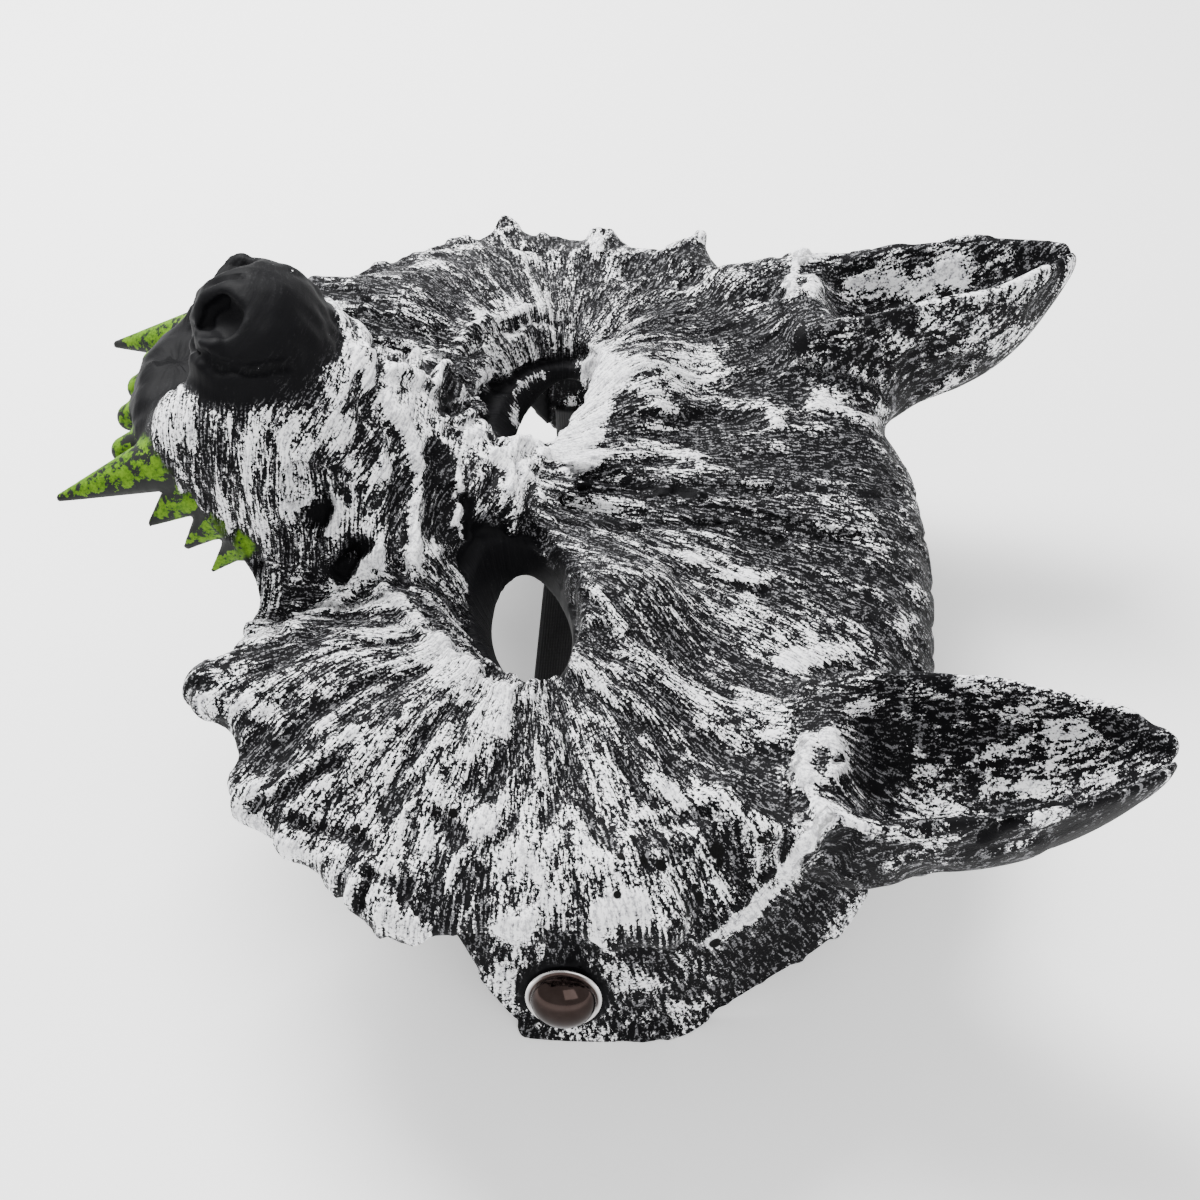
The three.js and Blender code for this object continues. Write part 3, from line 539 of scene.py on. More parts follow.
def ear(p):
    """An ear, half a superellipse in section and closed by a lid, and the cup to cut out of it."""
    t, past_tip, across, up = ear_frame(p)
    half = EAR["half"] * clamp01(1 - t**2.6) ** 0.8 + EAR["blunt"]
    depth = EAR["depth"] * clamp01(1 - t**3) + EAR["blunt_depth"]
    outer = (power_norm(across / half, up / depth, 2.3) - 1) * np.minimum(half, depth)
    lid = up - 1 - 1.6 * noise(21, p[0] / 13, p[1] / 40)
    outer = blend_max(blend_max(outer, lid, 5), past_tip, 4)
    from_base = past_tip + EAR_LENGTH
    outer = blend_max(outer, -from_base - 14, 10)
    cup_half = np.maximum(half - EAR["wall"], 0.5)
    cup_depth = np.maximum(EAR["cup"] * depth - 4, 0.5)
    cup = power_norm(across / cup_half, (up - 3) / (cup_depth + 3), 2.2) - 1
    cup = blend_max(cup * np.minimum(cup_half, cup_depth), -from_base + 1 - 0.5 * (up + 8), 10)
    return outer, cup


def rims(x, y, z):
    """What is cut off under the muzzle, round the lobes and behind the forehead."""
    _, up = along_muzzle(x, z, MUZZLE_ROOT)
    drop = LIP_RIM["front_drop"] * clamp01(1 - np.abs(y) / LIP_RIM["front_half"])
    lip = -(up + LIP_RIM["below_axis"] + drop)
    lobe_front = -((x - LOBE_FRONT["x"]) * LOBE_FRONT["lean_x"] + z * LOBE_FRONT["lean_z"])
    under_plate = UNDER_PLATE["z"] - UNDER_PLATE["fall"] * x - z
    front = blend_min(blend_max(lip, under_plate, 3), lobe_front, 6)
    # The last factors turn heights or lengths along a slope into distances from it
    crown = (x - REAR_RIM["x"] + REAR_RIM["curve"] * y * y) * 0.96 + (z - REAR_RIM["z"]) * REAR_RIM["slope"]
    lobe_rear = (REAR_RIM["rise"] * (x - LOBE_REST_END_X) - z) * 0.92
    under_ear = (REAR_RIM["ear_rise"] * (x - REAR_RIM["ear_x"]) - z) * 0.58
    return blend_max(blend_max(front, crown, 4), blend_max(lobe_rear, under_ear, 8), 4)


def stud_frame(p):
    """Distance out of the lobe, up along it and along X, from the middle of a stud's seat."""
    return *rotated(p[1] - STUD["y"], p[2] - STUD["z"], SEAT_TILT), p[0] - STUD["x"]


def stud_seat(p):
    """Flat seat outside and flat landing inside for the strap's end."""
    out, up, sideways = stud_frame(p)
    outside = np.maximum(np.sqrt(up**2 + sideways**2) - SEAT_RADIUS, -out)
    landing = np.maximum(np.abs(sideways - STRAP["x"] + STUD["x"]) - STRAP["width"] / 2 - 2, np.abs(up) - 30)
    return np.minimum(outside, np.maximum(landing, out + SEAT_WALL))


def casting(x, y, z):
    """The whole casting: face, ruff, swellings, cuts, nose, tufts, hollow, ears, teeth and stud seats."""
    wide = np.abs(y)
    p = (x, wide, z)
    form = blend_min(skull(x, y, z), ruff(x, y, z), 10)
    form = blend_min(form, ellipsoid(apart(p, CHEEK["place"]), CHEEK["radii"]), 12)
    for rods, soft, soft_to_face in SWELLINGS.values():
        swelling = tapered_rod(p, *rods[0])
        for rod in rods[1:]:
            swelling = blend_min(swelling, tapered_rod(p, *rod), soft)
        form = blend_min(form, swelling, soft_to_face)
    form = blend_max(form, -socket_cut(x, wide, z), 3)
    form = carved(form, p, FOLDS)
    form = carved(form, (x, y, z), FOREHEAD_FOLDS)
    form = blend_min(form, nose(x, wide, z), 5)
    form = blend_max(form, -ellipsoid(apart(p, NOSTRIL["place"]), NOSTRIL["radii"]), 3)
    hollow = blend_max(skull(x, y, z) + WALL, SOCKET["wall"] - socket(x, wide, z), 6)
    shell = blend_max(form, rims(x, y, z), 3)
    for tufts, here in ((TUFTS_BOTH, True), (TUFTS_FAR, y > 0), (TUFTS_NEAR, y < 0)):
        shell = with_tufts(shell, p, tufts, here)
    shell = blend_max(shell, -hollow, 2)
    shell = blend_max(shell, -eye_hole(x, wide), 2.5)
    by_ear = (x > EARS_BEHIND) & (wide > EARS_BEYOND)
    outer, cup = ear(picked(p, by_ear))
    outer = blend_max(outer, -hollow[by_ear], 2)
    shell[by_ear] = blend_max(blend_min(shell[by_ear], outer, 8), -cup, 4)
    by_mouth = x < TEETH_BEFORE
    shell[by_mouth] = blend_min(shell[by_mouth], teeth(picked(p, by_mouth)), 1.6)
    by_stud = (wide > STUDS_BEYOND) & (z < STUDS_BELOW)
    shell[by_stud] = np.maximum(shell[by_stud], -stud_seat(picked(p, by_stud)))
    return np.maximum(shell, -z)


# Mesh of the place where a field is zero

CORNERS = [(n & 1, n >> 1 & 1, n >> 2 & 1) for n in range(8)]


def grid_lines(stretches):
    """Grid lines from stretches of even steps, in whole blocks."""
    lines = []
    for (start, step), (end, _) in zip(stretches, stretches[1:]):
        blocks = math.ceil((end - start) / step / BLOCK)
        lines.extend(np.linspace(start, end, blocks * BLOCK, endpoint=False))
    lines.append(stretches[-1][0])
    return np.array(lines, dtype=np.float32)


def at_nodes(field, lines, nodes):
    """Field values at grid nodes, in portions."""
    values = np.empty(len(nodes[0]), dtype=np.float32)
    portion = 400000
    for start in range(0, len(values), portion):
        part = [line[index[start:start + portion]] for line, index in zip(lines, nodes)]
        values[start:start + portion] = field(*part)
    return values


def at_corner(grid, corner):
    """The part of a grid of nodes that holds one corner of every cell."""
    return grid[tuple(slice(bit, n - 1 + bit) for bit, n in zip(corner, grid.shape))]


def in_cells(blocks):
    """Each block's value in all of its cells."""
    for axis in range(3):
        blocks = blocks.repeat(BLOCK, axis)
    return blocks


def field_near_surface(field, lines):
    """Field on the whole grid, exact in the blocks that the surface may pass through."""
    coarse = [line[::BLOCK] for line in lines]
    shape = [len(line) for line in coarse]
    nodes = [index.ravel() for index in np.indices(shape)]
    rough = at_nodes(field, coarse, nodes).reshape(shape)
    nearest = np.min([np.abs(at_corner(rough, corner)) for corner in CORNERS], axis=0)
    reach = 1.25 * BLOCK * max(float(np.diff(line).max()) for line in lines)
    cells = in_cells(nearest < reach)
    needed = np.zeros([len(line) for line in lines], dtype=bool)
    for corner in CORNERS:
        at_corner(needed, corner)[cells] = True
    values = in_cells(rough)[tuple(slice(n) for n in needed.shape)].copy()
    found = np.nonzero(needed)
    values[found] = at_nodes(field, lines, found)
    return values


def surface_points(values, lines):
    """One point in each cell that the surface crosses, and the point's number for each cell."""
    inside = values < 0
    crossed = sum(at_corner(inside, corner).astype(np.int8) for corner in CORNERS)
    cells = np.nonzero((crossed > 0) & (crossed < 8))
    number = np.full(crossed.shape, -1, dtype=np.int32)
    number[cells] = np.arange(len(cells[0]))
    total = np.zeros((len(cells[0]), 3), dtype=np.float32)
    count = np.zeros(len(cells[0]), dtype=np.float32)
    for a in CORNERS:
        value_a = values[tuple(c + bit for c, bit in zip(cells, a))]
        for axis in range(3):
            if a[axis]:
                continue
            b = tuple(bit + (n == axis) for n, bit in enumerate(a))
            value_b = values[tuple(c + bit for c, bit in zip(cells, b))]
            change = (value_a < 0) != (value_b < 0)
            share = np.where(change, value_a / np.where(change, value_a - value_b, 1), 0)
            for n in range(3):
                total[:, n] += change * (a[n] + (share if n == axis else 0))
            count += change
    total /= count[:, None]
    points = np.empty_like(total)
    for n in range(3):
        start = lines[n][cells[n]]
        points[:, n] = start + total[:, n] * (lines[n][cells[n] + 1] - start)
    return points, number, inside


def surface_quads(number, inside):
    """A quad across each grid edge whose ends lie on different sides, wound to face outwards."""
    quads = []
    for axis in range(3):
        u, v = (axis + 1) % 3, (axis + 2) % 3
        near = [slice(1, -1)] * 3
        far = [slice(1, -1)] * 3
        near[axis] = slice(0, -1)
        far[axis] = slice(1, None)
        changed = np.nonzero(inside[tuple(near)] != inside[tuple(far)])
        node = [index + (0 if n == axis else 1) for n, index in enumerate(changed)]
        ring = []
        for back_u, back_v in ((1, 1), (0, 1), (0, 0), (1, 0)):
            cell = list(node)
            cell[u] = cell[u] - back_u
            cell[v] = cell[v] - back_v
            ring.append(number[tuple(cell)])
        quad = np.stack(ring, axis=1)
        solid_after = ~inside[tuple(node)]
        quad[solid_after] = quad[solid_after][:, ::-1]
        quads.append(quad)
    return np.concatenate(quads)


def columns_of(points):
    return [np.ascontiguousarray(points[:, n]) for n in range(3)]


def slopes(field, points):
    """Value of a field at points, and its steepest direction."""
    nudge = 0.25
    columns = columns_of(points)
    slope = np.empty_like(points)
    for axis in range(3):
        ahead = list(columns)
        behind = list(columns)
        ahead[axis] = columns[axis] + nudge
        behind[axis] = columns[axis] - nudge
        slope[:, axis] = (field(*ahead) - field(*behind)) / (2 * nudge)
    return field(*columns), slope


def surface_of(field):
    """Points and quads of the surface, each point moved onto it, by about 0.6 mm at most."""
    lines = [grid_lines(stretches) for stretches in GRID]
    points, number, inside = surface_points(field_near_surface(field, lines), lines)
    value, slope = slopes(field, points)
    steep = np.maximum((slope**2).sum(axis=1), 0.3)
    points -= np.clip(value / steep, -0.6, 0.6)[:, None] * slope
    return points, surface_quads(number, inside)


# Marks seen in the photograph, as half width in its pixels, rise in mm, paint, and points in its pixels.
# Paint runs from -1 for bare black to 1 for solid silver; dark paint in the marks named shade, and in
# hollows, grooves, pits, slits, gaps, pockets and on undersides, is painted shade.

# On the near side, and mirrored onto the far side
NEAR_MARKS = {
    # Nose, lip and muzzle
    "black upper lip": (17, 0, -1.6, [(128, 395), (150, 372), (172, 358), (215, 388), (262, 388)]),
    "lip edge": (6, 0.4, -0.9, [(152, 440), (182, 485), (215, 520), (250, 566)]),
    "ragged patch by the nose": (15, 0.3, 0.8, [(274, 328), (284, 346), (296, 358)]),
    "dark behind the nose": (16, 0, -0.7, [(290, 290), (312, 318), (300, 372), (318, 400)]),
    "whisker side": (34, 0.3, 0.16, [(190, 420), (260, 440), (330, 430)]),
    "lower muzzle shade": (22, 0, -0.3, [(180, 460), (230, 505), (290, 500)]),
    "recess": (48, -0.6, -0.6, [(292, 560), (290, 610)]),
    "recess by the cheek": (20, -1.6, -0.8, [(338, 560), (356, 545)]),
    "deep pocket": (15, -3.2, -2.4, [(340, 572), (352, 556), (362, 548)]),
    "pit rim": (5, 1.4, 1.5, [(284, 511), (302, 505), (322, 500), (329, 486)]),
    "pit rim behind": (5, 1.5, 1.5, [(331, 490), (337, 508), (335, 524), (326, 535)]),
    "pit": (14, -3.0, -3.4, [(318, 517), (322, 508)]),
    "pit tip": (5, -1.2, -2.6, [(326, 498), (328, 486)]),
    "mouth corner hole": (8, -2.0, -2.6, [(258, 567)]),
    "nostril's bulge": (15, 1.1, 0, [(203, 337), (210, 342)]),
    "nostril": (9, -1.8, 0, [(222, 303), (209, 311), (205, 325)]),
    "wing's crease": (11, -1.5, 0, [(186, 328), (190, 350), (214, 367), (262, 371), (284, 366)]),
    "lip's fold": (5, -1.2, 0, [(161, 326), (172, 344), (187, 353)]),
    "nose's edge": (9, 0.2, 0, [(160, 303), (190, 292), (224, 284), (244, 282)]),
    "groove on the nose": (6, -1.0, 0, [(196, 282), (222, 276), (240, 270)]),
    # Folds between muzzle and stop
    "fold down the muzzle": (9, 1.6, 0.5, [(345, 335), (368, 378), (382, 430), (388, 476)]),
    "dark band": (15, -1.6, -0.9, [(372, 398), (390, 440), (402, 490), (394, 550), (396, 585)]),
    "ridge beside the slit": (9, 2.2, 1.0, [(383, 395), (406, 426), (421, 472), (414, 514), (414, 575)]),
    "smooth hollow": (20, -2.4, -2.0, [(438, 452), (440, 490), (438, 528)]),
    "thin ridge": (6, 1.8, 0.9, [(446, 440), (457, 462), (462, 487)]),
    "slit": (9, -2.6, -3.6, [(466, 500), (468, 534)]),
    "slit edge": (4, 0.8, 3.4, [(459, 505), (461, 537)]),
    "ridge behind the slit": (9, 2.0, 0.7, [(488, 443), (508, 466), (519, 500), (510, 528)]),
    "dark behind the slit": (12, -1.2, -0.9, [(487, 470), (492, 500), (484, 530)]),
    "short ridge": (7, 1.6, 0.6, [(522, 464), (543, 495)]),
    "stop shade": (22, -0.6, -0.5, [(455, 560), (490, 545), (535, 525)]),
    # Near eye
    "eye corner hollow": (15, -0.8, -0.7, [(470, 606), (488, 576), (512, 556), (538, 543)]),
    "below the eye": (24, -1.0, -0.25, [(428, 585), (456, 625), (492, 662), (535, 690), (580, 690)]),
    "lid": (13, 0.6, -1.4, [(556, 556), (560, 580), (552, 602)]),
    "brow edge": (6, 0.4, -0.3, [
        (551, 535), (573, 560), (581, 578), (561, 609), (552, 634), (561, 661), (574, 673),
    ]),
    # Cheek ridge and ruff front
    "cheek ridge": (11, 2.0, 0.7, [(292, 626), (332, 600), (366, 568), (379, 552)]),
    "ridge below the eye": (13, 2.0, 0.7, [(378, 552), (391, 590), (448, 644), (494, 682), (528, 698)]),
    "crease inside it": (6, -1.2, -1.3, [(396, 582), (414, 602), (452, 640), (494, 672)]),
    "cheek white": (30, 0.2, 0.62, [(440, 650), (478, 690), (495, 715)]),
    "upper ruff edge": (9, 0.8, 0.35, [(206, 656), (245, 642), (292, 626)]),
    "ruff front shade": (12, 0, -0.7, [(200, 662), (240, 654), (290, 655)]),
    "flat end": (11, -0.6, -1.6, [(194, 682), (206, 682)]),
    "crumpled front": (15, 0.6, 0.6, [(200, 706), (240, 704), (275, 716)]),
    "ruff's shaded front": (75, 0, -0.4, [(270, 715), (330, 700)]),
    "shaded rear of the cheek": (70, 0, -0.28, [(650, 745), (740, 755)]),
    "ruff front dark": (24, -1.2, -0.55, [(214, 742), (238, 765), (262, 752), (300, 745)]),
    "bright cheek patch": (15, 0.3, 0.8, [(326, 724), (350, 732)]),
    "tuft by the notch": (9, 0.3, 0.4, [(252, 776), (250, 796)]),
    "notch groove": (9, -1.6, -1.2, [(250, 808), (290, 792), (332, 762)]),
    "pale ruff edge": (9, 0.5, 0.7, [(240, 814), (276, 840), (312, 858)]),
    "dark under the locks": (10, -1.2, -0.8, [(290, 822), (330, 830), (372, 846)]),
    "round lock": (13, 1.0, 0.45, [(356, 872), (352, 898)]),
    "gap beside the lock": (7, -1.8, -2.0, [(372, 872), (364, 890), (360, 908)]),
    "dark above the tuft": (10, -1.0, -0.9, [(382, 880), (412, 888)]),
    "crumpled tuft": (22, 1.2, 1.1, [(388, 916), (416, 934)]),
    "bump": (20, 1.8, 0.75, [(444, 800), (474, 812), (488, 826)]),
    "shade round the bump": (9, -0.7, -0.6, [(436, 812), (448, 832), (478, 848), (502, 836)]),
    "dark beside the white lock": (20, -0.8, -0.8, [(468, 872), (478, 912), (474, 936)]),
    "white lock": (12, 0.9, 0.85, [(544, 838), (536, 880), (526, 930)]),
    "white lock's foot": (20, 0.3, 0.75, [(514, 930), (512, 966)]),
    "hollow above the stud": (18, -1.6, -0.9, [(556, 938), (570, 950)]),
    "pale patch by the hollow": (24, 0.5, 0.8, [(606, 912), (632, 906)]),
    "dark lobe": (34, -0.6, -0.34, [(650, 955), (690, 950)]),
    "pale lower rim": (10, 0.3, 0.75, [(628, 1022), (670, 1008), (716, 998), (735, 988)]),
    "pale smear": (8, 0.2, 0.55, [(704, 960), (708, 985)]),
    "lobe front": (16, 0, -0.35, [(262, 850), (340, 912), (430, 972), (486, 1010)]),
    # Flap behind the ruff, up to the ear
    "flap's hook": (12, 1.4, 1.4, [(806, 742), (800, 762), (812, 792), (826, 818)]),
    "flap's strip": (10, 1.1, 1.4, [(826, 818), (802, 848), (783, 878), (756, 908), (724, 932), (706, 944)]),
    "dark inside the strip": (6, -1.0, -0.5, [(790, 838), (770, 874), (742, 904), (706, 926)]),
    "shade behind the strip": (20, -1.8, -0.9, [(846, 842), (828, 868), (806, 900)]),
    "shade below the strip": (26, -0.6, -0.7, [(836, 900), (790, 935), (760, 960)]),
    "ridge into the ear": (9, 1.2, 0.9, [(828, 800), (852, 822), (884, 832), (925, 838)]),
    "ledge fold": (13, 1.2, 0.7, [(652, 783), (676, 796), (700, 798)]),
    "ledge's tail": (6, 0.6, 0.6, [(638, 815), (676, 806)]),
    "shade under the ledge": (7, -0.8, -0.5, [(648, 824), (676, 820), (702, 814)]),
    # Ear
    "knob": (12, 1.3, 1.3, [(828, 735), (836, 748), (838, 768)]),
    "knob's hole": (6, -2.2, -3.2, [(838, 759)]),
    "deep end of the cup": (34, -0.6, -1.3, [(880, 735), (880, 775)]),
    "rim of the cup above": (10, 0.3, 0.5, [(940, 668), (1010, 676), (1080, 690), (1130, 708)]),
    "pale in the cup": (28, 0, 0.36, [(1030, 752), (1065, 746), (1085, 730)]),
    "pale low in the cup": (16, 0, 0.5, [(990, 788), (1060, 792), (1110, 782)]),
    "dark tip": (22, 0, -0.9, [(1158, 742)]),
    "pale under the rim": (15, 0.3, 0.6, [(1040, 822), (1060, 816)]),
    "notch in the rim": (8, -2.2, -2.2, [(984, 842), (1012, 822)]),
    "ear's dark underside": (26, 0, -1.3, [(880, 925), (950, 890), (1040, 862), (1120, 812)]),
}

# As they lie on the muzzle's ridge, the forehead and the far side
SEEN_MARKS = {
    "black nose": (46, 0, -2, [(180, 320), (225, 325), (262, 326)]),
    "shaded far cheek": (60, 0, -0.36, [(380, 310), (500, 290), (640, 280), (760, 300)]),
    "far lip specks": (10, 0.2, 1.3, [(160, 288), (185, 278), (204, 276)]),
    "bridge fold": (8, 0.8, 0.4, [(330, 300), (352, 342), (372, 382)]),
    "furrow": (6, -1.7, -2.4, [(566, 484), (601, 485), (656, 489), (706, 496)]),
    "ridge above the furrow": (12, 1.2, 0.85, [(570, 468), (601, 456), (656, 452), (700, 458)]),
    "furrow's end": (4, -0.7, -0.6, [(706, 496), (790, 488), (900, 492)]),
    "second furrow": (6, -1.3, -1.6, [(560, 520), (601, 523), (640, 526)]),
    "pale between the furrows": (11, 0.5, 0.35, [(566, 502), (600, 506), (640, 508)]),
    "midline": (5, -0.8, -0.9, [(640, 526), (720, 522), (830, 532), (928, 538)]),
    "near brow's crest": (9, 0.9, 0.55, [(586, 580), (600, 600), (622, 627)]),
    "near brow's rim": (11, 0.7, 0.55, [(560, 618), (558, 640), (575, 665), (605, 682)]),
    "hollow in the near brow": (16, -0.9, -0.6, [(600, 632), (608, 650)]),
    "long pale fold": (10, 1.0, 0.7, [(690, 556), (730, 570), (766, 580)]),
    "shade below the fold": (8, -1.2, -0.8, [(680, 572), (728, 586), (768, 592)]),
    "pale forehead": (24, 0.3, 0.55, [(725, 590), (752, 615), (772, 635)]),
    "pale forehead behind": (20, 0.2, 0.5, [(865, 540), (885, 550)]),
    "pale edge behind": (12, 0.2, 0.4, [(905, 590), (922, 600), (900, 640)]),
    "pale swell by the ear": (15, 0.8, 0.8, [(785, 662), (820, 655), (845, 652)]),
    "far brow": (36, 0.8, 1.7, [(600, 372), (580, 420), (575, 442)]),
    "far brow behind": (30, 0.3, 1.0, [(640, 378), (700, 372)]),
    "far ear's cup": (28, 0, 0.7, [(860, 290), (940, 268), (1020, 262)]),
    "far tuft": (9, 1.4, 0.8, [(660, 408), (720, 400), (765, 406), (778, 418)]),
    "shade below the tuft": (9, -1.2, -0.9, [(672, 420), (720, 416), (760, 424)]),
    "far swell": (20, 1.0, 0.75, [(820, 400), (856, 402), (872, 412)]),
    "dark forehead": (20, -0.4, -0.35, [(740, 462), (800, 470), (880, 470)]),
    "dark behind the ears": (18, 0, -0.5, [(925, 430), (935, 520), (936, 600), (930, 650)]),
    "far eye's dark band": (10, -1.6, -0.9, [(489, 392), (520, 376), (552, 364), (586, 352)]),
    "far eye's lid": (7, 1.2, 2.6, [(545, 372), (520, 384), (513, 402), (516, 424), (540, 440)]),
    "far eye's corner": (9, -1.2, -0.8, [(492, 398), (500, 430)]),
    "ridge to the far eye": (6, 1.0, 0.5, [(459, 426), (501, 438), (541, 446)]),
    "ridge before the far eye": (8, 1.0, 0.6, [(470, 300), (490, 335), (492, 368), (480, 392)]),
    "shade before the far eye": (14, -1.0, -0.55, [(440, 330), (455, 370), (450, 405)]),
    "muzzle's far fold": (8, 0.8, 0.4, [(395, 320), (420, 360), (430, 400)]),
    "dark behind the far brow": (34, -0.8, -0.5, [(660, 318), (720, 330), (770, 350)]),
}

# Small round air bubbles: radius in pixels, place; and how near to it the skin is looked for
PITS = [
    (6, (455, 813)), (6, (353, 827)), (6, (646, 861)), (7.5, (662, 865)), (4.5, (675, 870)),
    (4.5, (621, 853)), (5, (616, 895)), (9.5, (717, 850)), (5, (720, 862)), (6, (761, 843)),
    (7.5, (717, 946)), (5, (700, 897)), (4, (598, 925)), (4, (604, 932)), (4, (694, 884)),
    (4, (748, 858)), (4, (636, 838)),
]
PIT_SEARCH = 4

# Painted shade on the lower sides and tips of the teeth, and dark mottles at the root, in the same form
TOOTH_SHADE_NEAR = {
    "canine's underside": (9, 0, -1.3, [(54, 505), (112, 500), (160, 486)]),
    "canine's point": (7, 0, -1, [(50, 499), (56, 499)]),
    "behind the canine": (7, 0, -1.2, [(143, 521), (146, 500), (171, 486)]),
    "under the first blade": (8, 0, -1.2, [(140, 528), (184, 525), (203, 506)]),
    "above the second blade": (6, 0, -1.2, [(176, 546), (183, 530), (206, 515)]),
    "under the second blade": (7, 0, -1.2, [(176, 550), (226, 547)]),
    "above the third blade": (6, 0, -1.2, [(208, 566), (214, 547)]),
    "under the third blade": (7, 0, -1.2, [(208, 575), (251, 579), (248, 566)]),
    "mottles at the root": (7, 0, -0.7, [(128, 440), (140, 452), (150, 466)]),
}
TOOTH_SHADE_SEEN = {
    "far canine's tip": (13, 0, -1.4, [(102, 330), (104, 342), (120, 348)]),
}


def photo_place(x, y, z):
    """Where points of the modelling frame lie in the photograph, in its pixels."""
    across, rise, nearer = in_axes((x, y, z), VIEW_TARGET, view_axes())
    scale = FOCAL_PIXELS / (VIEW_DISTANCE - nearer)
    return PHOTO_SIDE / 2 + across * scale, PHOTO_SIDE / 2 - rise * scale


def line_distance(px, py, points):
    """Pixels to a line through points, or to a single point."""
    nearest = np.full(px.shape, np.inf, dtype=np.float32)
    for a, b in zip(points, points[1:] or points):
        run_x = b[0] - a[0]
        run_y = b[1] - a[1]
        t = clamp01(((px - a[0]) * run_x + (py - a[1]) * run_y) / max(run_x**2 + run_y**2, 1))
        nearest = np.minimum(nearest, np.hypot(px - a[0] - t * run_x, py - a[1] - t * run_y))
    return nearest


def marked(marks, px, py):
    """Rise in mm and paint that marks give to places in the photograph, with unsteady edges."""
    rise = np.zeros(px.shape, dtype=np.float32)
    paint = np.zeros(px.shape, dtype=np.float32)
    px = px + 2.6 * noise(401, px / 13, py / 13) + 1.2 * noise(402, px / 5, py / 5)
    py = py + 2.6 * noise(403, px / 13, py / 13) + 1.2 * noise(404, px / 5, py / 5)
    for half, height, tint, points in marks.values():
        low = np.min(points, axis=0) - half
        high = np.max(points, axis=0) + half
        near = (px > low[0]) & (px < high[0]) & (py > low[1]) & (py < high[1])
        share = smooth_step(half, 0.35 * half, line_distance(px[near], py[near], points))
        rise[near] += height * share
        paint[near] += tint * share
    return rise, paint


def facing_photo(normal, side):
    """How squarely the near side, or the far side turned over, faces the photograph's camera."""
    back = view_axes()[2]
    square = normal[:, 0] * back[0] + side * normal[:, 1] * back[1] + normal[:, 2] * back[2]
    return smooth_step(-0.05, 0.3, square)


def marks_at(x, y, z, normal, near_marks, seen_marks):
    """Rise and paint of the marks at points of the casting; the near ones lie on both sides."""
    near = marked(near_marks, *photo_place(x, -np.abs(y), z))
    seen = marked(seen_marks, *photo_place(x, y, z))
    near_share = facing_photo(normal, np.where(y > 0, -1, 1))
    seen_share = facing_photo(normal, 1)
    return [n * near_share + s * seen_share for n, s in zip(near, seen)]


# Fur: which way it lies, how deep it is carved, where it is painted and where shade is painted on it

def fur_zones(x, y, z):
    """How much points belong to the muzzle, the brow, an ear and the cheek, and distance to an ear's cup."""
    wide = np.abs(y)
    on_muzzle = smooth_step(-3, 4, head(x, y, z) - muzzle(x, y, z))
    on_muzzle = np.maximum(on_muzzle, smooth_step(-70, -78, x) * smooth_step(52, 44, wide))
    on_brow = smooth_step(-5, 7, 54 + 0.24 * x - wide) * smooth_step(-24, -12, x) * (1 - on_muzzle)
    up = ear_frame((x, wide, z))[3]
    outer, cup = ear((x, wide, z))
    beside = wide > EARS_BEYOND
    on_ear = smooth_step(3.5, 1.0, outer) * smooth_step(30, 62, x) * beside
    on_ear = np.maximum(on_ear, smooth_step(2, 0.5, cup) * (x > CUPS_BEHIND) * beside * (up < 8))
    on_muzzle = on_muzzle * (1 - on_ear)
    on_brow = on_brow * (1 - on_ear)
    return (on_muzzle, on_brow, on_ear, 1 - on_muzzle - on_brow - on_ear), cup


def fur_lines(x, y, z):
    """For the muzzle, brow, ears and cheeks: distance across the fur and along it.

    The factor of each arctan2 is the radius at which the angle is measured.
    """
    wide = np.abs(y)
    along, up = along_muzzle(x, z, MUZZLE_ROOT)
    muzzle_lines = ((along - np.clip(up, -40, 12)) / 1.3, 30 * np.arctan2(y, up + 10))
    hanging = np.maximum(FUR_HANGS_BELOW - z, 0)
    from_x = x - BROW_CENTRE_X
    brow_lines = (74 * np.arctan2(y, from_x), np.hypot(from_x, y) + hanging)
    t, past_tip, across, ear_up = ear_frame((x, wide, z))
    ear_lines = (18 * np.arctan2(across, np.maximum(16 - ear_up, 8)) * (1 - 0.3 * t), past_tip)
    from_x = x - CHEEK_CENTRE[0]
    from_y = wide - CHEEK_CENTRE[1] + 0.7 * hanging
    reach = np.hypot(from_x, from_y)
    cheek_lines = (np.sign(y) * 54 * np.arctan2(from_y, from_x + 0.16 * reach), reach)
    return muzzle_lines, brow_lines, ear_lines, cheek_lines


def streaks(seed, across, along, pitch, length):
    """Uneven streaks along the fur, from -1 in the grooves to 1 on the locks."""
    sway = noise(seed + 5, across / 17, along / 21)
    coarse = noise(seed, (across + 2.4 * sway) / pitch, along / length)
    fine = noise(seed + 1, (across + 1.2 * sway) * 1.9 / pitch, along * 1.7 / length)
    return 0.66 * coarse + 0.34 * fine


def furry(x, y, z):
    """1 where fur is carved, 0 on the nose, lips, teeth, sockets and the inner side."""
    wide = np.abs(y)
    share = smooth_step(0.5, 5, nose(x, wide, z))
    share *= smooth_step(-2.5, 0.5, socket_cut(x, wide, z))
    share *= outer_side(x, y, z)
    share *= 1 - smooth_step(1.5, 0, teeth((x, wide, z))) * (x < TEETH_BEFORE)
    _, up, sideways = stud_frame((x, wide, z))
    near_stud = np.hypot(up, sideways) - SEAT_RADIUS
    return share * (1 - smooth_step(2, 0, near_stud) * (wide > STUDS_BEYOND))


def fur_pattern(x, y, z):
    """Carved height of the fur from 0 in the grooves to 1, and how deep its grooves are, in mm."""
    total = 0
    depth = 0
    for share, lines, (seed, pitch, length, deep) in zip(fur_zones(x, y, z)[0], fur_lines(x, y, z), FUR):
        total = total + share * streaks(seed, *lines, pitch, length)
        depth = depth + deep * share
    return smooth_step(-0.36, 0.2, total), depth * furry(x, y, z)


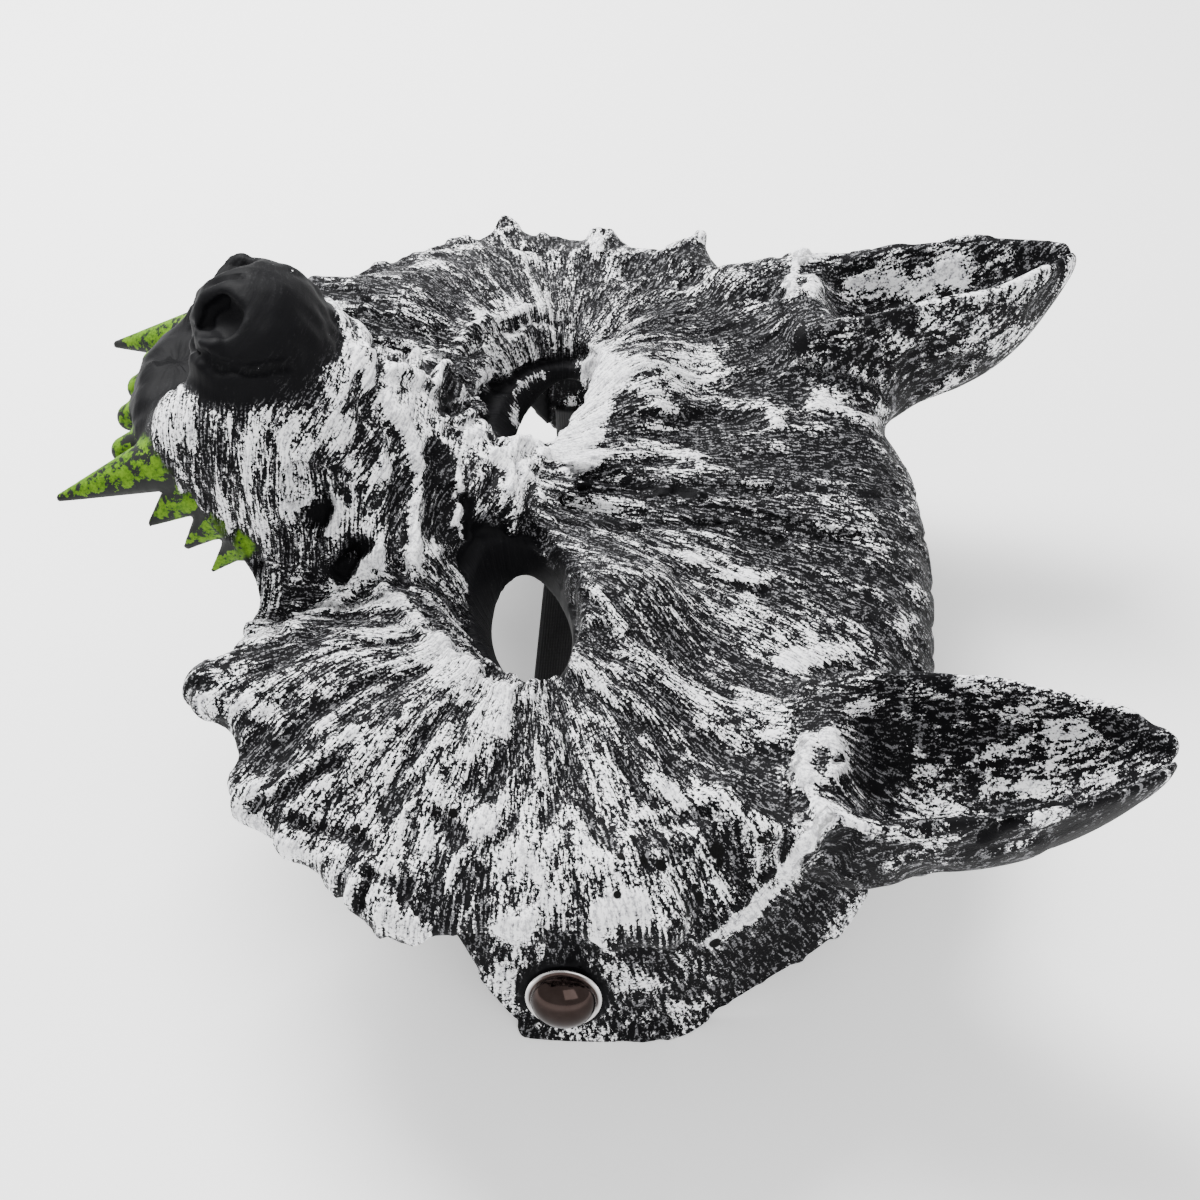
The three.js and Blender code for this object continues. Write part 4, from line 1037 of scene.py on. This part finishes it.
def broad_swell(x, y, z):
    """Hand-shaped unevenness and the larger locks."""
    (on_muzzle, _, _, on_cheek), _ = fur_zones(x, y, z)
    muzzle_lines, _, _, cheek_lines = fur_lines(x, y, z)
    locks = noise(201, cheek_lines[0] / 12, cheek_lines[1] / 36)
    wrinkles = noise(203, muzzle_lines[0] / 5.2, muzzle_lines[1] / 30)
    near_eyes = smooth_step(72, 30, muzzle_lines[0])
    uneven = noise(205, x / 21, y / 21, z / 21)
    return on_cheek * 1.7 * locks + on_muzzle * (0.3 + 0.9 * near_eyes) * wrinkles + 0.8 * uneven


def relief(points, normals):
    """How far each point of the smooth form moves out, in millimetres."""
    x, y, z = columns_of(points)
    height, depth = fur_pattern(x, y, z)
    share = furry(x, y, z)
    outside = outer_side(x, y, z)
    rise, _ = marks_at(x, y, z, normals, NEAR_MARKS, SEEN_MARKS)
    on_teeth = smooth_step(2, 0, teeth((x, np.abs(y), z))) * (x < TEETH_BEFORE)
    bare = outside * (1 - share) * (1 - on_teeth)
    rise += bare * (0.5 * noise(207, x / 4.5, y / 3, z / 4.5) - 0.3)
    carved_fur = (height - 1) * depth + share * (broad_swell(x, y, z) - 0.6)
    return (carved_fur + outside * rise) * smooth_step(0.5, 4, z)


def silver_with_painted_shade(x, y, z, normal):
    """How thickly silver is brushed on, from -1 for bare black to 1; painted shade on undersides and in dark
    marks takes silver away.
    """
    wide = np.abs(y)
    (on_muzzle, on_brow, on_ear, _), cup = fur_zones(x, y, z)
    cover_and_shade = COVER["patches"] * layered(301, x / 19, y / 19, z / 19) + COVER["everywhere"]
    cover_and_shade += COVER["muzzle"] * on_muzzle + COVER["brow"] * on_brow + COVER["ear"] * on_ear
    cover_and_shade += COVER_LOW["change"] * smooth_step(COVER_LOW["from"], COVER_LOW["to"], z)
    # Painted shade on surfaces that face down
    cover_and_shade += COVER_SHADE_UNDERNEATH * smooth_step(0.1, -0.5, normal[:, 2])
    cover_and_shade += COVER_BARE * (1 - furry(x, y, z))
    under_front_teeth = smooth_step(27, 21, wide) * smooth_step(103, 99, z) * smooth_step(-80, -86, x)
    cover_and_shade += COVER_UNDER_FRONT_TEETH * under_front_teeth
    cover_and_shade += COVER_SOCKET * in_socket(x, wide, z)
    cover_and_shade += COVER["cup"] * smooth_step(2, 0, cup) * (x > CUPS_BEHIND) * (wide > EARS_BEYOND)
    # Pale marks add silver and dark marks take it away; in hollows, grooves and on undersides that is
    # painted shade
    _, paint = marks_at(x, y, z, normal, NEAR_MARKS, SEEN_MARKS)
    return cover_and_shade + np.where(paint > 0, PALE_MARK, DARK_MARK) * paint


# Building starts here

def mesh_from(name, points, faces):
    mesh = bpy.data.meshes.new(name)
    mesh.from_pydata(points, [], faces)
    mesh.validate()
    return mesh


def vertex_array(mesh):
    flat = np.empty(len(mesh.vertices) * 3, dtype=np.float32)
    mesh.vertices.foreach_get("co", flat)
    return flat.reshape(-1, 3)


def move_vertices(mesh, points):
    mesh.vertices.foreach_set("co", np.asarray(points).astype(np.float32).ravel())
    mesh.update()


def set_values(mesh, name, *columns):
    """Gives each vertex one number, or a vector from three columns."""
    kind, key = ("FLOAT", "value") if len(columns) == 1 else ("FLOAT_VECTOR", "vector")
    columns = [np.broadcast_to(np.asarray(c, dtype=np.float32), len(mesh.vertices)) for c in columns]
    mesh.attributes.new(name, kind, "POINT").data.foreach_set(key, np.stack(columns, axis=1).ravel())


def add_piece(name, mesh, material, replaced):
    """Puts a mesh in the scene as a piece of the mask in place of its solid."""
    piece = in_scene(name, mesh)
    mesh.materials.append(material)
    mesh.shade_smooth()
    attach(piece, "root")
    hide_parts(replaced)
    return piece


def thinned(mesh, limit):
    """The mesh with its flatter places joined up, to stay under a number of triangles."""
    holder = in_scene("thinning", mesh)
    triangles = sum(len(p.vertices) - 2 for p in mesh.polygons)
    holder.modifiers.new("thin", "DECIMATE").ratio = min(1, limit / triangles)
    scene_graph = bpy.context.evaluated_depsgraph_get()
    thin = bpy.data.meshes.new_from_object(holder.evaluated_get(scene_graph))
    bpy.data.objects.remove(holder)
    return thin


def add_paint_layers(mesh):
    """Values at each vertex that the painted foam's material reads."""
    normal = np.empty(len(mesh.vertices) * 3, dtype=np.float32)
    mesh.vertex_normals.foreach_get("vector", normal)
    normal = normal.reshape(-1, 3)
    x, y, z = columns_of(vertex_array(mesh))
    wide = np.abs(y)
    (on_muzzle, on_brow, on_ear, on_cheek), _ = fur_zones(x, y, z)
    muzzle_lines, brow_lines, ear_lines, cheek_lines = fur_lines(x, y, z)
    brow_lines = [np.where(on_ear > 0.5, e, b) for e, b in zip(ear_lines, brow_lines)]
    set_values(mesh, "muzzle_fur", *muzzle_lines, 0)
    set_values(mesh, "brow_fur", *brow_lines, 0)
    set_values(mesh, "cheek_fur", *cheek_lines, 0)
    set_values(mesh, "fur_share", on_muzzle, on_brow + on_ear, on_cheek)
    set_values(mesh, "relief", fur_pattern(x, y, z)[0])
    set_values(mesh, "cover_and_shade", silver_with_painted_shade(x, y, z, normal))
    # Teeth: coloured on sides that face up and back, painted shade on sides that face down and at the marked
    # places
    lit_from_above = smooth_step(-0.35, 0.15, 0.5 * normal[:, 2] + 0.5 * normal[:, 0] + 0.2)
    _, shade = marks_at(x, y, z, normal, TOOTH_SHADE_NEAR, TOOTH_SHADE_SEEN)
    set_values(mesh, "green_where_lit", lit_from_above + shade)
    set_values(mesh, "fur_depth", 0.2 + 0.8 * np.maximum(furry(x, y, z), 0.7 * in_socket(x, wide, z)))
    set_values(mesh, "tooth", smooth_step(1.2, 0.3, teeth((x, wide, z))) * (x < TOOTH_PAINT_BEFORE))


def pit_places(points):
    """Middle of each air bubble on the skin, in metres, with its radius."""
    px, py = photo_place(points[:, 0], points[:, 1], points[:, 2])
    nearness = points @ view_axes()[2]
    places = []
    for radius, (at_x, at_y) in PITS:
        close = np.flatnonzero(np.hypot(px - at_x, py - at_y) < PIT_SEARCH)
        if len(close):
            front = close[np.argmax(nearness[close])]
            scale = (VIEW_DISTANCE - nearness[front]) / FOCAL_PIXELS
            places.append((in_metres(points[front]), radius * scale * MM))
    return places


def build_casting():
    points, quads = surface_of(casting)
    _, slope = slopes(casting, points)
    normals = slope / np.maximum(np.linalg.norm(slope, axis=1, keepdims=True), 1e-3)
    points = points + relief(points, normals)[:, None] * normals
    low, high = (1000 * np.array(corner) - SHIFT for corner in CAD_BOX)
    points = np.clip(points, low + BOX_INSET, high - BOX_INSET)
    mesh = thinned(mesh_from("mask_casting_skin", points, quads), TRIANGLE_LIMIT)
    add_paint_layers(mesh)
    points = vertex_array(mesh)
    move_vertices(mesh, in_metres(points))
    look = painted_foam(pit_places(points))
    return add_piece("mask_casting_skin", mesh, look, "mask_casting")


# Studs and rivet backs: turned profiles as (radius, height) in millimetres

def turned(name, profile, sides):
    """A closed turned mesh around its own Z axis; the profile starts and ends on the axis."""
    points = []
    faces = []
    for radius, height in profile:
        turns = [2 * math.pi * n / sides for n in range(1 if radius == 0 else sides)]
        points.append([(radius * math.cos(a), radius * math.sin(a), height) for a in turns])
    starts = np.cumsum([0] + [len(ring) for ring in points])
    for n in range(len(points) - 1):
        for side in range(sides):
            beside = (side + 1) % sides
            lower = [starts[n] + (i if len(points[n]) > 1 else 0) for i in (side, beside)]
            upper = [starts[n + 1] + (i if len(points[n + 1]) > 1 else 0) for i in (beside, side)]
            faces.append(tuple(dict.fromkeys(lower + upper)))
    return mesh_from(name, [p for ring in points for p in ring], faces)


def seat_on_lobe(mesh, side, out):
    """Moves a turned mesh from its own axis onto a lobe, at a height out of the seat."""
    outward = np.array([0, side * math.cos(SEAT_TILT), math.sin(SEAT_TILT)])
    up = np.array([0, -side * math.sin(SEAT_TILT), math.cos(SEAT_TILT)])
    points = vertex_array(mesh).astype(float)
    middle = np.array([STUD["x"], side * STUD["y"], STUD["z"]]) + out * outward
    along_x = np.cross(up, outward)
    placed = middle + points[:, :1] * along_x + points[:, 1:2] * up + points[:, 2:] * outward
    move_vertices(mesh, in_metres(placed))


def arc(radius, height, start, end, steps, centre):
    """Points of a part of an ellipse, as (radius, height)."""
    angles = np.linspace(start, end, steps)
    return [(centre[0] + radius * math.cos(a), centre[1] + height * math.sin(a)) for a in angles]


def build_stud(side, place):
    flange = STUD["flange"]
    radius = STUD["radius"]
    rim = STUD["rim"]
    dome_top = STUD["height"] - 0.2
    dome_height = STUD["height"] - flange - 0.2
    profile = [(0, 0), (radius - rim, 0)]
    profile += arc(rim, rim, -math.pi / 2, math.pi / 2, 7, (radius - rim, rim))
    profile += [(radius - 1.1, flange)]
    profile += arc(radius - 1.3, dome_height, 0.02, math.pi / 2 - 0.04, 16, (0, flange))
    mesh = turned("stud_" + place, profile + [(0, dome_top)], STUD_SIDES)
    sideways, upward = vertex_array(mesh)[:, :2].T
    from_middle = np.hypot(sideways, upward - 0.07 * radius)
    # Bright ring round the rim, wider towards the bottom: a painted reflection
    set_values(mesh, "rim_highlight", smooth_step(0.89 * radius, 0.92 * radius, from_middle))
    seat_on_lobe(mesh, side, GAP)
    add_piece("stud_cap_" + place, mesh, stud_steel(), "stud_" + place)


def build_rivet_back(side, place):
    radius = RIVET_BACK["radius"]
    thick = RIVET_BACK["thick"]
    rim = RIVET_BACK["rim"]
    dish = RIVET_BACK["dish"]
    floor = thick - RIVET_BACK["dish_deep"]
    profile = [(0, 0), (radius - rim, 0)]
    profile += arc(rim, thick / 2, -math.pi / 2, math.pi / 2, 7, (radius - rim, thick / 2))
    profile += [(dish + 0.6, thick), (dish, floor), (1.2, floor), (0.7, floor - 0.4), (0, floor - 0.4)]
    mesh = turned("rivet_" + place, profile, RIVET_SIDES)
    move_vertices(mesh, vertex_array(mesh) * (1, 1, -1))
    mesh.flip_normals()
    seat_on_lobe(mesh, side, -(SEAT_WALL + GAP + STRAP["thick"] + 2 * GAP))
    add_piece("rivet_cap_" + place, mesh, rivet_steel(), "rivet_back_" + place)


# Strap: a woven band across the floor, turned up inside each lobe

def strap_line():
    """Middle line of the strap, seen along X, from one end to the other."""
    cos = math.cos(SEAT_TILT)
    sin = math.sin(SEAT_TILT)
    back = SEAT_WALL + GAP + STRAP["thick"] / 2
    tab_y = STUD["y"] - back * cos
    tab_z = STUD["z"] - back * sin
    bend = STRAP["bend"]
    top = (tab_y - STRAP["tab_above"] * sin, tab_z + STRAP["tab_above"] * cos)
    centre_z = STRAP["floor_gap"] + STRAP["thick"] / 2 + bend
    start_z = centre_z + bend * sin
    start_y = tab_y + (tab_z - start_z) * math.tan(SEAT_TILT)
    centre = (start_y - bend * cos, centre_z)
    run = (start_y - top[0], start_z - top[1])
    half = [(top[0] + run[0] * t, top[1] + run[1] * t) for t in np.linspace(0, 1, STRAP_TAB_STEPS)]
    half += arc(bend, bend, SEAT_TILT, -math.pi / 2, STRAP_TAB_STEPS, centre)[1:]
    inner, floor_z = half[-1]
    line = half + [(inner * (1 - t), floor_z) for t in np.linspace(0, 1, STRAP_FLOOR_STEPS)][1:]
    return np.array(line + [(-y, z) for y, z in reversed(line[:-1])])


def strap_section():
    """Outline of the band across its width: flat faces with soft edges."""
    half_width = STRAP["width"] / 2
    half_thick = STRAP["thick"] / 2
    steps = np.linspace(-1, 1, 61)[1:-1]
    half = [(half_width * s * 0.965, half_thick * (1 - 0.35 * abs(s) ** 14)) for s in steps]
    half += [(half_width, 0.45 * half_thick), (half_width, -0.45 * half_thick)]
    return np.array(half + [(-w, -t) for w, t in half])


def build_strap():
    line = strap_line()
    section = strap_section()
    ahead = np.gradient(line, axis=0)
    ahead /= np.linalg.norm(ahead, axis=1, keepdims=True)
    outward = np.stack([-ahead[:, 1], ahead[:, 0]], axis=1)
    lengths = np.concatenate([[0], np.cumsum(np.linalg.norm(np.diff(line, axis=0), axis=1))])
    rings = []
    for middle, out in zip(line, outward):
        rings.append(np.column_stack([STRAP["x"] + section[:, 0], middle + section[:, 1:] * out]))
    count = len(section)
    last = (len(line) - 1) * count
    faces = []
    for start in range(0, last, count):
        for n in range(count):
            a = start + n
            b = start + (n + 1) % count
            faces.append((a, b, b + count, a + count))
    ends = [tuple(range(count - 1, -1, -1)), tuple(range(last, last + count))]
    mesh = mesh_from("strap_band", in_metres(np.concatenate(rings)), faces + ends)
    set_values(mesh, "weave", np.tile(section[:, 0], len(line)), np.repeat(lengths, count), 0)
    piece = add_piece("strap_band", mesh, woven_elastic(), "elastic_strap")


# Materials

class Wire:
    """A shader socket that arithmetic can be written with."""

    def __init__(self, look, socket):
        self.look = look
        self.socket = socket

    def __add__(self, other):
        return self.look.math("ADD", self, other)

    def __sub__(self, other):
        return self.look.math("SUBTRACT", self, other)

    def __rsub__(self, other):
        return self.look.math("SUBTRACT", other, self)

    def __mul__(self, other):
        return self.look.math("MULTIPLY", self, other)

    __radd__ = __add__
    __rmul__ = __mul__

    def step(self, low, high):
        """0 below low and 1 above high, smooth between."""
        inputs = {"Value": self, "From Min": low, "From Max": high}
        return self.look.node("ShaderNodeMapRange", {"interpolation_type": "SMOOTHSTEP"}, inputs)


class Look:
    """A material's nodes."""

    def __init__(self, name):
        self.material = bpy.data.materials.new(name)
        self.material.use_nodes = True
        self.tree = self.material.node_tree
        self.shader = self.tree.nodes["Principled BSDF"]

    def feed(self, socket, value):
        if isinstance(value, Wire):
            self.tree.links.new(value.socket, socket)
        elif socket.type == "RGBA" and len(value) == 3:
            socket.default_value = (*value, 1)
        else:
            socket.default_value = value

    def set(self, **sockets):
        for name, value in sockets.items():
            self.feed(self.shader.inputs[name.replace("_", " ")], value)

    def node(self, kind, settings=None, inputs=None, output=0):
        """Any node, by its type, its settings and the values or wires of its sockets."""
        node = self.tree.nodes.new(kind)
        for key, value in (settings or {}).items():
            setattr(node, key, value)
        for key, value in (inputs or {}).items():
            self.feed(node.inputs[key], value)
        return Wire(self, node.outputs[output])

    def place(self):
        return self.node("ShaderNodeTexCoord", output="Object")

    def attribute(self, name, output="Fac"):
        return self.node("ShaderNodeAttribute", {"attribute_name": name}, output=output)

    def math(self, operation, first, second):
        return self.node("ShaderNodeMath", {"operation": operation}, {0: first, 1: second})

    def scaled(self, vector, factors):
        return self.node("ShaderNodeVectorMath", {"operation": "MULTIPLY"}, {0: vector, 1: factors})

    def noise(self, vector, scale, detail, roughness, flat=False):
        settings = {"noise_dimensions": "2D" if flat else "3D"}
        inputs = {"Vector": vector, "Scale": scale, "Detail": detail, "Roughness": roughness}
        return self.node("ShaderNodeTexNoise", settings, inputs)

    def waves(self, vector, direction, scale):
        inputs = {"Vector": vector, "Scale": scale}
        return self.node("ShaderNodeTexWave", {"bands_direction": direction}, inputs, output="Fac")

    def mix(self, share, first, second):
        return self.node("ShaderNodeMix", {"data_type": "RGBA"}, {0: share, 6: first, 7: second}, output=2)

    def bump(self, height, strength, distance_mm, **normal):
        inputs = {"Height": height, "Strength": strength, "Distance": distance_mm * MM, **normal}
        return self.node("ShaderNodeBump", None, inputs)


def painted_foam(pits):
    """Black foam with silver brushed over the fur, lime teeth, fine hair in every surface and black pits;
    the grey glints on the black are painted highlights, and the dark undersides of the teeth, the pits and
    the dark marks in hollows carry painted shade.
    """
    look = Look("painted_foam")
    place = look.place()
    shares = look.attribute("fur_share", "Vector")
    split = [look.node("ShaderNodeSeparateXYZ", None, {0: shares}, output=n) for n in range(3)]
    hair = 0
    strands = 0
    for name, share in zip(("muzzle_fur", "brow_fur", "cheek_fur"), split):
        lines = look.attribute(name, "Vector")
        hair = share * look.noise(look.scaled(lines, (1.75, 0.34, 0)), 1, 3, 0.65, flat=True) + hair
        strands = share * look.noise(look.scaled(lines, (0.37, 0.1, 0)), 1, 1, 0.5, flat=True) + strands
    speck = look.noise(place, 1400, 3, 0.7)
    glint_specks = look.noise(place, 1900, 2, 0.6)
    blotch = look.noise(place, 110, 3, 0.6)
    depth = look.attribute("fur_depth")
    # Edge of the silver, which the painted shade of undersides and dark marks pushes back
    wet = look.attribute("cover_and_shade") + 1.5 * (look.attribute("relief") - 0.65)
    # Each texture is about 0.5 on the whole, so it thins the silver as much as it thickens it
    for strength, texture in ((5.4, hair), (4.2, strands), (7.6, speck), (0.5, blotch)):
        wet = wet + strength * (texture - 0.5)
    silver = wet.step(-0.05, 0.05)
    # Grey glints on the black: painted highlights, left out where the painted shade of the darkest marks
    # must stay black
    glint = depth * depth * (glint_specks + 1.1 * hair).step(1.13, 1.2) * wet.step(-4.2, -1.8)
    black = look.mix(glint, (0.003, 0.003, 0.0037), (0.16, 0.16, 0.168))
    bright = look.mix((hair + speck).step(0.84, 1.12), (0.42, 0.42, 0.445), (0.94, 0.94, 0.955))
    colour = look.mix(silver, black, bright)
    scuff = look.noise(place, 420, 4, 0.7)
    # Teeth: lime where lit, near black where shade is painted, with dark mottles
    greened = (look.attribute("green_where_lit") + 4.2 * (scuff - 0.5)).step(0.7, 0.82)
    lime = look.mix((scuff + 0.6 * speck).step(0.6, 1.0), (0.028, 0.085, 0.003), (0.11, 0.22, 0.012))
    enamel = look.mix(greened, (0.016, 0.017, 0.016), lime)
    colour = look.mix(look.attribute("tooth"), colour, enamel)
    # Air bubbles: near-black discs, bare black foam with painted shade inside the holes
    pit_black_and_shade = 0
    for centre, radius in pits:
        away = look.node("ShaderNodeVectorMath", {"operation": "DISTANCE"}, {0: place, 1: centre}, output=1)
        pit_black_and_shade = away.step(1.1 * radius, 0.8 * radius) + pit_black_and_shade
    colour = look.mix(pit_black_and_shade, colour, (0.002, 0.002, 0.002))
    look.set(Base_Color=colour, Roughness=0.62 - 0.08 * silver, Specular_IOR_Level=0.07)
    form = look.bump(strands * depth, 0.9, 1.1)
    look.set(Normal=look.bump((hair + speck) * depth, 0.7, 0.3, Normal=form))
    return look.material


def woven_elastic():
    """Black elastic with fine ribs along it and a tight cross weave."""
    look = Look("woven_elastic")
    weave = look.attribute("weave", "Vector")
    thread = look.waves(weave, "X", 0.42) * 0.6 + look.waves(weave, "Y", 0.55) * 0.4
    fuzz = look.noise(look.scaled(weave, (3, 3, 0)), 1, 3, 0.6, flat=True)
    colour = look.mix(thread * 0.8 + fuzz * 0.2, (0.002, 0.002, 0.0026), (0.012, 0.012, 0.0135))
    look.set(Base_Color=colour, Roughness=0.86, Sheen_Weight=0.06)
    look.set(Normal=look.bump(thread + 0.3 * fuzz, 0.6, 0.25))
    return look.material


def stud_steel():
    """Polished nickel with faint wiping marks in its roughness; its dark dome, the patches of colour on it
    and its bright rim are a painted reflection.
    """
    look = Look("stud_steel")
    smear = look.noise(look.place(), 260, 3, 0.6)
    # Dark dome with patches of colour and a bright rim: a painted reflection; the same noise gives wiping
    # marks in the roughness
    dome = look.mix(smear, (0.022, 0.015, 0.013), (0.05, 0.036, 0.033))
    look.set(Base_Color=look.mix(look.attribute("rim_highlight"), dome, (0.8, 0.78, 0.77)))
    look.set(Roughness=0.07 + 0.1 * smear, Metallic=1.0)
    return look.material


def rivet_steel():
    """Plain nickel, a little scratched."""
    look = Look("rivet_steel")
    scratch = look.noise(look.scaled(look.place(), (300, 300, 1800)), 1, 3, 0.6)
    look.set(Base_Color=look.mix(scratch, (0.42, 0.4, 0.39), (0.6, 0.58, 0.56)))
    look.set(Roughness=0.2 + 0.2 * scratch, Metallic=1.0)
    return look.material


make_camera()
make_studio()
build_casting()
build_strap()
for side, place in ((-1, "left"), (1, "right")):
    build_stud(side, place)
    build_rivet_back(side, place)
